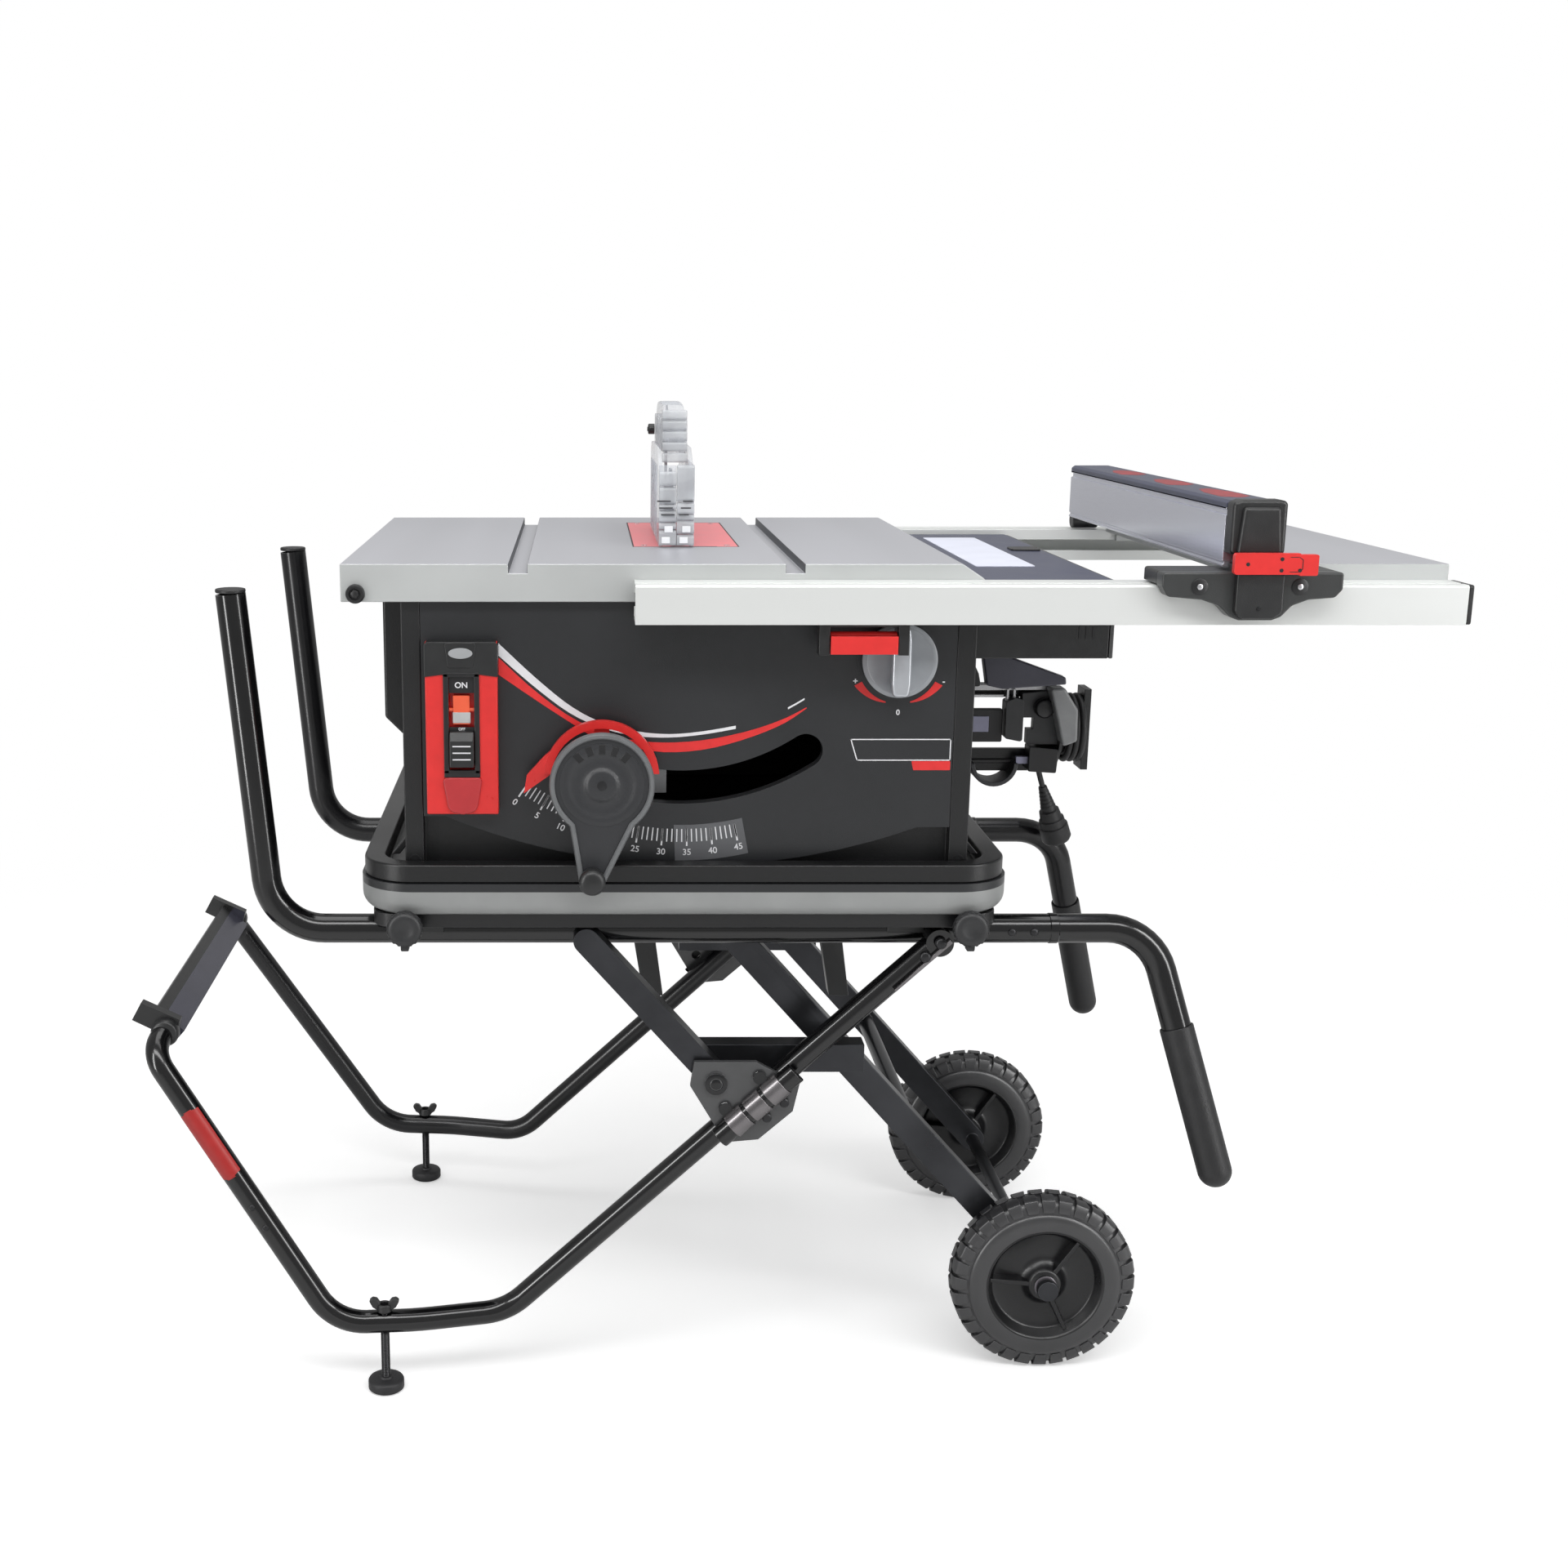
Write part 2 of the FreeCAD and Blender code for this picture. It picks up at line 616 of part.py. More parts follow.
def fence():
    left, right = d.fence_left, d.fence_left + d.fence_width
    low = d.table_level + d.fence_lift
    top = low + d.fence_height
    front, back = -38, d.table_depth + 1
    beam = box(left, right - 8, front, back, low, top - 9)
    inner = box(left + 3, right - 11, front - 1, back + 1, low + 3, top - 12)
    cover = slab("XZ", [
        (left + 1, top - 9), (left + 1, top - 4), (left + 6, top), (right - 7, top), (right, top - 8),
        (right, low + 3), (right - 8, low + 3), (right - 8, top - 9),
    ], front, back)
    keep("fence_cover", cover)
    cap = rounded(left, right, front - 22, front, low + 18, top + 2, 9)
    head_top = d.rail_low + d.rail_height + 15
    head_low = d.rail_low + 9
    y0 = -d.rail_depth - 30
    y1 = -d.rail_depth - 2 * d.fit - 0.2
    middle = (left + right) / 2
    head_right = d.head_left + d.head_width
    plate = slab("XZ", [
        (d.head_left, head_top), (d.head_left, head_low + 29), (d.head_left + 6, head_low + 20),
        (middle - 44, head_low + 18), (middle - 26, head_low), (middle + 26, head_low),
        (middle + 44, head_low + 18), (head_right - 8, head_low + 20), (head_right, head_low + 29),
        (head_right, head_top),
    ], y0 + 8, y1)
    boss = box(middle - 26, middle + 26, y0, y0 + 9, head_low, head_top)
    saddle = box(d.head_left, head_right, y1 - 1, -6, d.rail_low + d.rail_height + 1, head_top)
    neck = box(left + 4, right - 4, front - 20, front, head_top - 1, low + 4)
    keep("fence_head", fuse(plate, boss, saddle, neck))
    hook = fuse(box(left + 8, right - 12, back, back + 8, low + 2, low + 24),
                rod("X", left + 8, back + 18, head_top - 3, 11, 34),
                box(left + 8, right - 12, back + 4, back + 20, head_top - 6, low + 12))
    keep("fence_beam", fuse(cut(beam, inner), cap, hook))
    lever = fuse(box(left - 4, left + 78, y0 - 9, y0 - 2, low - 3, low + 17),
                 box(left + 4, left + 50, y0 - 4, front - 20.4, low + 2, low + 14))
    keep("fence_lever", lever)


# ---------------------------------------------------------------- tilting and rising saw unit

def tilt_unit():
    x, z = d.blade_plane, d.table_level
    y0, y1 = carriage_front, carriage_back
    left, right = x - 105, x - 14
    low, top = z - 250, z - 95
    plates = [box(left, right, y, y + 8, low, top) for y in (y0, y1 - 8)]
    bar = box(x - 55, right, y0, y1, low, low + 15)
    guides = [rod("Z", x - 30, y, low, d.guide_radius, 220) for y in (guide_front, guide_back)]
    shaft_x, shaft_z = x + d.wheel_offset, z + d.wheel_drop
    sleeve = rod("Y", shaft_x, d.panel_front - 26, shaft_z, 11, y0 - d.panel_front + 27)
    bore = rod("Y", shaft_x, d.panel_front - 60, shaft_z, d.shaft_radius + 0.06, y0 - d.panel_front + 70)
    keep("tilt_carriage", cut(fuse(*plates, bar, sleeve, *guides), bore))


def handwheel_parts():
    x, z = d.blade_plane + d.wheel_offset, d.table_level + d.wheel_drop
    y = d.panel_front - 62
    ring = cut(rod("Y", x, y, z, d.handwheel_radius, 14), rod("Y", x, y - 1, z, d.handwheel_radius - 9, 16))
    disc = rod("Y", x, y + 4, z, d.handwheel_radius - 8, 6)
    boss = rod("Y", x, y, z, 15, 35)
    shaft = rod("Y", x, y + 14, z, d.shaft_radius, carriage_front - y - 8)
    knob_x, knob_z = x - 10, z - 97.4
    neck = slab("XZ", [
        (x - 44, z - 30), (x - 27, z - 62), (x - 22, z - 90), (x - 17, z - 103), (x - 10, z - 107), (x - 2, z - 103),
        (x + 4, z - 88), (x + 18, z - 56), (x + 44, z - 30),
    ], y + 3, y + 12)
    pin = rod("Y", knob_x, y - 20, knob_z, 4, 26)
    keep("handwheel", fuse(ring, disc, boss, shaft, neck, pin))
    knob = rod("Y", knob_x, y - 23, knob_z, 14, 25)
    keep("handwheel_knob", cut(knob, rod("Y", knob_x, y - 21, knob_z, 4.06, 30)))
    back = d.panel_front - 14
    arc = cut(rod("Y", x, back - 10, z, 60, 9), rod("Y", x, back - 11, z, 52, 11),
              box(x - 70, x + 70, back - 12, back + 2, z - 70, z + 4))
    collar = cut(rod("Y", x, back - 10, z, 20, 9), rod("Y", x, back - 11, z, 11.06, 12))
    bars = box(x - 8, x + 8, back - 6, back - 1, z + 12, z + 54)
    pointer = slab("XZ", [(x - 52, z + 4), (x - 81, z - 17), (x - 78, z + 2), (x - 60, z + 22), (x - 46, z + 34)],
                   back - 8, back - 2)
    keep("squeeze_lever", fuse(arc, collar, bars, pointer))


def saw_unit():
    x, y, z = d.blade_plane, d.blade_centre, arbor_level
    low, top = z - 47, z + 28
    right = x - 8
    block = box(x - 60, right, guide_front - 15, guide_back + 15, low, top)
    bore = rod("X", x - 61, y, z, d.arbor_radius + 0.06, 60)
    guides = [rod("Z", x - 30, g, low - 1, d.guide_radius + 0.08, top - low + 2) for g in (guide_front, guide_back)]
    arm = box(x - 12, x - 2.6, guide_back + 14, guide_back + 42, z - 12, z + 8)
    tie = box(x - 12, x - d.knife_thick / 2, y + 129, y + 150, z - 12, z + 8)
    keep("arbor_block", fuse(cut(block, bore, *guides), arm, tie))
    motor_z = z - 64
    body = rod("X", x - 190, y, motor_z, 42, 128)
    flange = box(x - 72, x - 60, y - 42, y + 42, motor_z - 30, z + 10)
    keep("motor", fuse(body, cut(flange, rod("X", x - 73, y, z, d.arbor_radius + 1, 20))))
    knife_outline = [
        (y + 131, z - 12), (y + 152, z - 12), (y + 154, z + 48), (y + 154, z + 110), (y + 144, z + 160),
        (y + 120, z + 196), (y + 100, z + 190), (y + 118, z + 130), (y + 126, z + 60), (y + 131, z + 10),
    ]
    half = d.knife_thick / 2
    keep("riving_knife", slab("YZ", knife_outline, x - half, x + half))
    spin = fuse(rod("X", x - 66, y, z, d.arbor_radius, 84),
                rod("X", right + d.seat, y, z, 22, 8 - d.seat - d.blade_thick / 2),
                rod("X", x + d.blade_thick / 2, y, z, 22, 5), rod("X", x + 5, y, z, 14, 8))
    blade = rod("X", x - d.blade_thick / 2, y, z, d.blade_radius, d.blade_thick)
    keep("saw_blade", fuse(spin, blade))


def guard():
    x, y, z = d.blade_plane, d.blade_centre, d.table_level
    inner_left = shield_left + d.shield_thick + d.fit
    inner_right = shield_right - d.shield_thick - d.fit
    spine = slab("YZ", [
        (y - 100, z + 96), (y + 160, z + 96), (y + 164, z + 128), (y + 120, z + 150), (y + 70, z + 155),
        (y - 50, z + 155), (y - 100, z + 112),
    ], inner_left, inner_right)
    half = d.knife_thick / 2 + d.seat / 2
    slit = box(x - half, x + half, y + 98, y + 170, z + 90, z + 150)
    keep("guard_housing", cut(spine, slit))
    profile = [
        (y - 146, z + 0.8), (y + 104, z + 0.8), (y + 104, z + 96), (y + 88, z + 106), (y - 80, z + 106),
        (y - 128, z + 86), (y - 146, z + 60),
    ]
    keep("left_shield", slab("YZ", profile, shield_left, shield_left + d.shield_thick))
    keep("right_shield", slab("YZ", profile, shield_right - d.shield_thick, shield_right))
    keep("shield_link", box(inner_left, x - 3, y - 144, y - 128, z + 30, z + 66))


# ---------------------------------------------------------------- stand

def side_tubes():
    for label, plane, outward in (("side_tube_near", d.tube_near, -1), ("side_tube_far", tube_far, 1)):
        path = [
            (d.prong_foot - d.prong_lean, plane, d.prong_top),
            (d.prong_foot, plane, d.tube_level),
            (d.handle_start, plane, d.tube_level),
            (d.handle_start + d.handle_reach, plane + outward * d.handle_splay, d.tube_level - d.handle_drop),
        ]
        radius = d.tube_radius.value
        keep(label, feature(pipe_shape(path, radius, d.bend_radius.value, radius - 1.8)))
    grips = []
    caps = []
    for plane, outward in ((d.tube_near, -1), (tube_far, 1)):
        top = point_on_handle(plane, outward, d.grip_share.value)
        low = point_on_handle(plane, outward, 1.0)
        aim = (low - top).normalize()
        outer = d.tube_radius.value + d.grip_wall.value
        sleeve = Part.makeCylinder(outer, (low - top).Length + 9, top, aim)
        core = Part.makeCylinder(d.tube_radius.value, (low - top).Length, top, aim)
        end = low + aim * 9
        grips.append(sleeve.cut(core).fuse(Part.makeSphere(outer, end)).cut(core).removeSplitter())
        caps.append(rod("Z", d.prong_foot - d.prong_lean, plane, d.prong_top + 1.4, d.tube_radius, 4))
    keep("handle_grips", group(*[feature(grip) for grip in grips], *caps))


def point_on_handle(plane, outward, share):
    start = FreeCAD.Vector(d.handle_start.value, plane.value, d.tube_level.value)
    step = FreeCAD.Vector(d.handle_reach.value, outward * d.handle_splay.value, -d.handle_drop.value)
    return start + step * share


def saddles():
    pieces = []
    for x in (-170, 350):
        for plane in (d.tube_near, tube_far):
            block = box(x - 20, x + 20, plane - 18, plane + 18, d.tube_level, d.base_bottom)
            pieces.append(cut(block, rod("X", x - 21, plane, d.tube_level, d.tube_radius, 42)))
    members = []
    for x in (64, 290):
        start = d.tube_near + d.tube_radius + d.seat
        bar = rod("Y", x, start, d.tube_level - 6, 9, 2 * d.stand_middle - 2 * start)
        plate = slab("XZ", [(x - 14, d.tube_level - 6), (x + 14, d.tube_level - 6), (x + 34, d.tube_level - 150),
                            (x + 10, d.tube_level - 150)], d.stand_middle - 12, d.stand_middle + 12)
        members.append(fuse(bar, plate))
    keep("tube_fittings", group(*pieces, *members))


def clamp_knobs():
    """Hand knobs that hold the base down on the side tubes."""
    pieces = []
    right = d.base_left + d.base_width
    for x, inward in ((d.base_left + 50, d.base_corner - 55), (right - 46, d.base_corner - 51)):
        reach = 17 - d.seat / 2 + inward * inward / (d.base_corner * 2)
        for front in (True, False):
            edge = d.base_front - 17 if front else base_back + 1
            head = rod("Y", x, edge, d.base_bottom + 9, 15, 16)
            tail = rod("Z", x + 2, edge + 8, d.base_bottom - 20, 4.5, 20)
            stem = rod("Y", x, edge if front else base_back + 17 - reach, d.base_bottom + 9, 5, reach)
            pieces.append(fuse(head, tail, stem))
    keep("clamp_knobs", group(*pieces))


def bar_between(x0, z0, x1, z1, half, y0, y1):
    """A flat bar with rounded ends between two points, along the XZ plane."""
    length = math.hypot(as_size(x1).value - as_size(x0).value, as_size(z1).value - as_size(z0).value)
    ux = (as_size(x1) - x0) / length
    uz = (as_size(z1) - z0) / length
    outline = [
        (x0 - uz * half, z0 + ux * half), (x0 + uz * half, z0 - ux * half),
        (x1 + uz * half, z1 - ux * half), (x1 - uz * half, z1 + ux * half),
    ]
    depth = as_size(y1) - y0
    return [slab("XZ", outline, y0, y1), rod("Y", x0, y0, z0, half, depth), rod("Y", x1, y0, z1, half, depth)]


def wheel_legs():
    half = d.strut_width / 2 + 1
    legs = []
    for front in (True, False):
        span = (wheel_leg_near - d.strut_thick, as_size(wheel_leg_near))
        y0, y1 = span if front else mirror_y(*span)
        legs += bar_between(d.wheel_pivot, d.tube_level - 2, axle_x, axle_z, half, y0, y1)
        inner = d.tube_near + d.tube_radius + d.seat
        stub0, stub1 = (inner, span[0]) if front else mirror_y(inner, span[0])
        legs.append(rod("Y", d.wheel_pivot, stub0, d.tube_level - 2, 10, as_size(stub1) - stub0))
    brace = rod("Y", d.wheel_pivot + 330 * cosine(d.link_angle), wheel_leg_near - 2,
                d.tube_level - 2 - 330 * sine(d.link_angle), 10, 2 * d.stand_middle - 2 * wheel_leg_near + 4)
    start = wheel_outer - 5
    axle = rod("Y", axle_x, start, axle_z, d.axle_radius, 2 * d.stand_middle - 2 * start)
    caps = [rod("Y", axle_x, y, axle_z, 12, 8) for y in (start - 8, 2 * d.stand_middle - start)]
    keep("wheel_legs", fuse(*legs, brace, axle, *caps))
    for front, label in ((True, "near"), (False, "far")):
        low = wheel_outer if front else 2 * d.stand_middle - wheel_outer - d.wheel_width
        face = low if front else low + d.wheel_width - 14
        back = low + d.wheel_width - 14 if front else low
        bore = rod("Y", axle_x, low - 1, axle_z, d.axle_radius + 0.08, d.wheel_width + 2)
        tyre = cut(rod("Y", axle_x, low, axle_z, d.wheel_radius, d.wheel_width),
                   rod("Y", axle_x, low - 1, axle_z, d.hub_radius, d.wheel_width + 2))
        hub = cut(rod("Y", axle_x, low + 1, axle_z, d.hub_radius, d.wheel_width - 2),
                  rod("Y", axle_x, face - 1, axle_z, d.hub_radius - 8, 15),
                  rod("Y", axle_x, back, axle_z, d.hub_radius - 8, 15))
        nave = rod("Y", axle_x, low, axle_z, 19, d.wheel_width)
        keep(f"wheel_{label}", cut(fuse(tyre, hub, nave), bore))


def struts():
    pieces = []
    links = []
    half = d.strut_width / 2
    for front in (True, False):
        y0, y1 = d.leg_plane - 11, d.leg_plane + 14
        a0, a1 = (y0, y1) if front else mirror_y(y0, y1)
        bore = rod("Y", knee_x, a0 - 1, knee_z, 6.06, 27)
        stub0, stub1 = (y1, tube_side - d.seat) if front else mirror_y(y1, tube_side - d.seat)
        stub = rod("Y", d.strut_pivot, stub0, d.tube_level - 2, 10, as_size(stub1) - stub0)
        bars = bar_between(d.strut_pivot, d.tube_level - 2, knee_x, knee_z, half - 1, a0, a1)
        pieces.append(cut(fuse(*bars, stub), bore))
        b0, b1 = y1 + 6, wheel_leg_near - d.strut_thick - 12
        b0, b1 = (b0, b1) if front else mirror_y(b0, b1)
        middle = knee_z + d.bar_offset
        bar = box(knee_x - 16, elbow_x + 16, b0, b1, middle - d.bar_height / 2, middle + d.bar_height / 2)
        pin0, pin1 = b1, wheel_leg_near - d.strut_thick - d.seat
        if not front:
            pin0, pin1 = mirror_y(wheel_leg_near - d.strut_thick - 12, wheel_leg_near - d.strut_thick - d.seat)
        links.append(fuse(bar, rod("Y", elbow_x, pin0, elbow_z, 7, as_size(pin1) - pin0)))
    keep("fold_struts", group(*pieces))
    keep("level_links", group(*links))


def leg_brackets():
    """Plates with a split saddle that slides along the foot legs, hung on the knee pins."""
    outline = [(117, 357), (121, 385), (188, 385), (208, 374), (236, 361), (229, 328), (192, 295), (159, 292), (148, 305)]
    points = [(knee_x + (u - 144.8), knee_z + (v - 360.5)) for u, v in outline]
    plates = []
    for front in (True, False):
        y0, y1 = d.leg_plane - 20, d.leg_plane - 13.6
        a0, a1 = (y0, y1) if front else mirror_y(y0, y1)
        plate = slab("XZ", points, a0, a1)
        holes = [rod("Y", knee_x + u, a0 - 1, knee_z + v, 6, 9) for u, v in ((47.2, 7.5), (10.7, -28.5))]
        pin0, pin1 = (y0 - 3, d.leg_plane + 15) if front else mirror_y(y0 - 3, d.leg_plane + 15)
        pin = rod("Y", knee_x, pin0, knee_z, 6, pin1 - pin0)
        head0, head1 = (y0 - 4, y0) if front else mirror_y(y0 - 4, y0)
        head = rod("Y", knee_x, head0, knee_z, 12.5, 4)
        plates.append(fuse(cut(plate, *holes), pin, head))
    keep("leg_brackets", group(*plates))


def place(point, y):
    return point[0], y, point[1]


def foot_plane(outward):
    """Plane of a levelling foot, on the outward bow of its leg."""
    near = d.leg_plane - d.foot_splay + 1.3
    return near if outward < 0 else 2 * d.stand_middle - near


def foot_legs():
    run = (d.tube_level - 3.4 - d.foot_level) / (sine(d.leg_angle) / cosine(d.leg_angle))
    turn = d.leg_pivot - run
    for label, outward, plane in (("foot_leg_near", -1, d.leg_plane), ("foot_leg_far", 1, 2 * d.stand_middle - d.leg_plane)):
        path = [
            (d.leg_pivot, plane, d.tube_level - 3.4),
            (turn, plane, d.foot_level),
            (turn - 100, plane + outward * 22, d.foot_level),
            (-275, plane + outward * d.foot_splay, d.foot_level),
            (-470, plane - outward * 2, 386),
            (-464, plane - outward * 35.2, 398),
        ]
        radius = d.leg_radius.value
        tube = pipe_shape(path, radius, [60, 260, 62, 30], radius - 1.6)
        level = d.leg_pivot.value, plane.value - radius, d.tube_level.value - 3.4
        head = Part.makeCylinder(15, 2 * radius, FreeCAD.Vector(*level), FreeCAD.Vector(0, 1, 0))
        stub_to = plane.value - outward * (tube_side.value - d.seat.value - d.leg_plane.value)
        stub = Part.makeCylinder(10, abs(stub_to - plane.value), FreeCAD.Vector(level[0], plane.value, level[2]),
                                 FreeCAD.Vector(0, -outward, 0))
        hole = Part.makeCylinder(5.1, 60, FreeCAD.Vector(d.foot_place.value, foot_plane(outward).value, d.foot_level.value - 30))
        keep(label, feature(tube.fuse([head, stub]).removeSplitter().cut(hole)))
    near = d.leg_plane + 49
    far = 2 * d.stand_middle - near
    tilted = [(-481, 413), (-474, 421), (-444, 395), (-451, 387)]
    caps = [slab("XZ", [(-499, 412), (-488, 432), (-446, 412), (-452, 388)], y0, y1)
            for y0, y1 in ((near - 12, near + 1), (far - 1, far + 12))]
    keep("foot_crossbar", fuse(slab("XZ", tilted, near, far), *caps))


def levelling_feet():
    feet = []
    for y in (foot_plane(-1), foot_plane(1)):
        pad = cone("Z", d.foot_place, y, 0, d.foot_pad, d.foot_pad - 3, 14)
        ball = rod("Z", d.foot_place, y, 14, 8, 8)
        stem = rod("Z", d.foot_place, y, 20, 5, d.foot_level)
        wing = box(d.foot_place - 13, d.foot_place + 13, y - 2.5, y + 2.5, d.foot_level + 14, d.foot_level + 30)
        feet.append(fuse(pad, ball, stem, wing))
    keep("levelling_feet", group(*feet))


# ---------------------------------------------------------------- right side fittings and cord

def side_fittings():
    wall = cabinet_right
    plate = box(wall, wall + 6, 90, 330, 650, 806)
    gland = rod("X", wall, 280, 672, 9, 12)
    arm = box(wall, 540, 190, 214, 664, 672)
    lug = box(wall, 540, 190, 198, 664, 766)
    window = box(wall + 20, 520, 189, 199, 690, 750)
    keep("accessory_bracket", cut(fuse(plate, arm, lug, gland), window))
    bar = box(wall + 6, 532, 180, 190, 758, 768)
    head = fuse(rod("Y", 490, 168, 712, 40, 12), box(464, 516, 168, 190, 664, 700), box(470, 500, 176, 190, 700, 762))
    keep("mitre_gauge", fuse(bar, head))
    stick = slab("XZ", [(wall + 12, 806), (wall + 34, 812), (wall + 128, 780), (wall + 130, 770), (wall + 34, 772)], 150, 166)
    keep("push_stick", fuse(stick, box(wall + 6, wall + 62, 158, 190, 768.3, 778)))
    core = d.wrap_core
    flange = 540 + d.wrap_disc + d.winding_width + 2 * d.seat
    hub = fuse(rod("X", 540, wrap_y, wrap_z, core, d.wrap_disc + d.winding_width + 2),
               rod("X", 540, wrap_y, wrap_z, winding_radius + 4, d.wrap_disc),
               box(flange, flange + 8, wrap_y - 16, wrap_y + 16, wrap_z - winding_radius - 6,
                   wrap_z + winding_radius + 6))
    keep("cord_wrap", hub)
    start = 540 + d.wrap_disc + d.seat
    winding = cut(rod("X", start, wrap_y, wrap_z, winding_radius, d.winding_width),
                  rod("X", start - 1, wrap_y, wrap_z, core + d.seat, d.winding_width + 2))
    keep("cord_winding", winding)


def cord_path(label, points):
    """One hanging stretch of the power cord."""
    corners = [FreeCAD.Vector(*point) for point in points]
    radii = []
    for p, q, r in zip(corners, corners[1:], corners[2:]):
        half = (p - q).getAngle(r - q) / 2
        radii.append(0.45 * min((p - q).Length, (r - q).Length) * math.tan(half))
    length = sum((q - p).Length for p, q in zip(corners, corners[1:]))
    print(label, "radii", [round(value, 1) for value in radii], "run", round(length))
    keep(label, feature(pipe_shape(points, d.cord_radius.value, radii)))


def power_cord():
    lead = [
        (555, 247.1, 712), (555, 285, 711), (558, 330, 702), (564, 372, 682), (571, 402, 655), (579, 420, 622),
        (590, 426, 591),
    ]
    cord_path("cord_lead", lead)
    cord_path("cord_tail", [
        (547, 232.5, 680.4), (546, 249, 665), (534, 270, 658), (508, 283, 657), (478, 285, 662), (448, 281, 669),
        (421, 280, 672),
    ])
    before, top = (FreeCAD.Vector(*point) for point in lead[-2:])
    aim = (top - before).normalize()
    relief = Part.makeCone(6, 10, 34, top, aim)
    start = top + aim * 34
    body = Part.makeCone(13, 17, 30, start, aim)
    disc = Part.makeCylinder(19, 16, start + aim * 30, aim)
    keep("power_plug", feature(relief.fuse([body, disc]).removeSplitter()))


# ---------------------------------------------------------------- the machine

dust_x = as_size(60)
dust_z = as_size(690)
micro_x = as_size(328)
micro_z = as_size(822.4)
knee_x = d.strut_pivot + d.link_length * cosine(d.link_angle)
knee_z = d.tube_level - d.strut_drop - d.link_length * sine(d.link_angle)
elbow_x = knee_x + d.wheel_pivot - d.strut_pivot
elbow_z = knee_z
tube_side = d.tube_near - d.tube_radius
axle_x = d.wheel_pivot + d.wheel_arm * cosine(d.link_angle)
axle_z = d.wheel_radius
wheel_leg_near = d.tube_near + d.tube_radius + 9.1 + d.strut_thick
wheel_outer = wheel_leg_near - d.strut_thick - 3 - d.wheel_width
carriage_front = d.cabinet_front + 20
carriage_back = d.blade_centre + 128
guide_front = d.blade_centre - 105
guide_back = d.blade_centre + 88
wrap_y = as_size(206)
wrap_z = as_size(712)
winding_radius = d.wrap_core + d.seat + 4 * d.cord_radius + 0.6

table_top()
throat_insert()
guide_blocks()
cabinet_shell()
front_panel()
base()
side_box()
storage()
switch()
micro_knob()
lock_lever()
extension()
fence()
tilt_unit()
handwheel_parts()
saw_unit()
guard()
side_tubes()
saddles()
clamp_knobs()
wheel_legs()
struts()
leg_brackets()
foot_legs()
levelling_feet()
side_fittings()
power_cord()
doc.recompute()

for item in doc.Objects:
    faults = [word for word in item.State if word in ("Invalid", "Error")]
    if faults:
        raise RuntimeError(f"{item.Label} {item.TypeId}: {faults}")
os.makedirs("parts", exist_ok=True)
for label, item in NODES:
    shape = item.Shape
    if shape.isNull() or not shape.isValid() or shape.Volume <= 0:
        raise RuntimeError(f"{label} has a bad shape")
    shape.exportStep(os.path.join("parts", f"{label}.step"))
    low, high = shape.BoundBox, shape.BoundBox
    print(f"{label:22s} {shape.Volume / 1000:9.1f} cm3  {len(shape.Solids)} solids  "
          f"X {low.XMin:7.1f} {high.XMax:7.1f}  Y {low.YMin:7.1f} {high.YMax:7.1f}  Z {low.ZMin:7.1f} {high.ZMax:7.1f}")
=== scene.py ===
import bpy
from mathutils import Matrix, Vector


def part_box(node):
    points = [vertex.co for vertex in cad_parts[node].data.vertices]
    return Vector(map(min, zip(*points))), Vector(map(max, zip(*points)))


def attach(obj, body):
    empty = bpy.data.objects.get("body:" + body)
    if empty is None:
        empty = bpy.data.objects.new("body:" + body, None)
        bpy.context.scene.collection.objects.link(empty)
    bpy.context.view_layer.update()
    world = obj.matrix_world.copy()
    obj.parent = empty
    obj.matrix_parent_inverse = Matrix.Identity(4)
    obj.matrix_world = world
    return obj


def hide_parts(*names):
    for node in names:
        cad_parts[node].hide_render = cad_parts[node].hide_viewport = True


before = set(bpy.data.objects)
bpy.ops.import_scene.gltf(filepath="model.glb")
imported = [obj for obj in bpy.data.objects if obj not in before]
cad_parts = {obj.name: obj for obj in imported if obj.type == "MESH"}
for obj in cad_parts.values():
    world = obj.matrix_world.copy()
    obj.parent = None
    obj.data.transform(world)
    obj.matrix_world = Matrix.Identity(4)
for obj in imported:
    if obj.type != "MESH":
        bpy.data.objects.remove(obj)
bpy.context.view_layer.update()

import bmesh
import bpy
import math
from mathutils import Matrix, Vector

# The viewer stands a little left of the saw's middle and looks slightly down at it.
# All places are given in millimetres from one datum, which lies on the table's front edge.
table_low, table_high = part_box("table_top")
DATUM = Vector((table_low[0] + 0.248, table_low[1], 0.0))


def at(x, y, z):
    """A point given in millimetres from the datum, in the row frame."""
    return DATUM + Vector((x, y, z)) / 1000.0


camera = bpy.data.objects.new("camera", bpy.data.cameras.new("camera"))
bpy.context.collection.objects.link(camera)
camera_tilt = 12.896
camera.location = at(0, -1910, 1129)
camera.rotation_euler = (math.radians(90 - camera_tilt), 0, 0)
camera.data.lens = 42.92
camera.data.sensor_width = 36
camera.data.shift_x = 0.1286
camera.data.clip_end = 60
bpy.context.scene.camera = camera
bpy.context.scene.view_settings.view_transform = "Standard"


# The floor is a pale seamless sheet that carries the shadow. A wide light above the front is the main one, with a
# fill from the right, one overhead, and a tall strip on each side that only gloss shows.
def new_material(name):
    material = bpy.data.materials.new(name)
    material.use_nodes = True
    return material, material.node_tree


def add_node(tree, kind, inputs=(), links=(), **settings):
    """A node with its settings, its constant inputs and the outputs that feed its other inputs."""
    node = tree.nodes.new(kind)
    for key, value in settings.items():
        setattr(node, key, value)
    for key, value in inputs:
        node.inputs[key].default_value = value
    for key, source in links:
        tree.links.new(source, node.inputs[key])
    return node


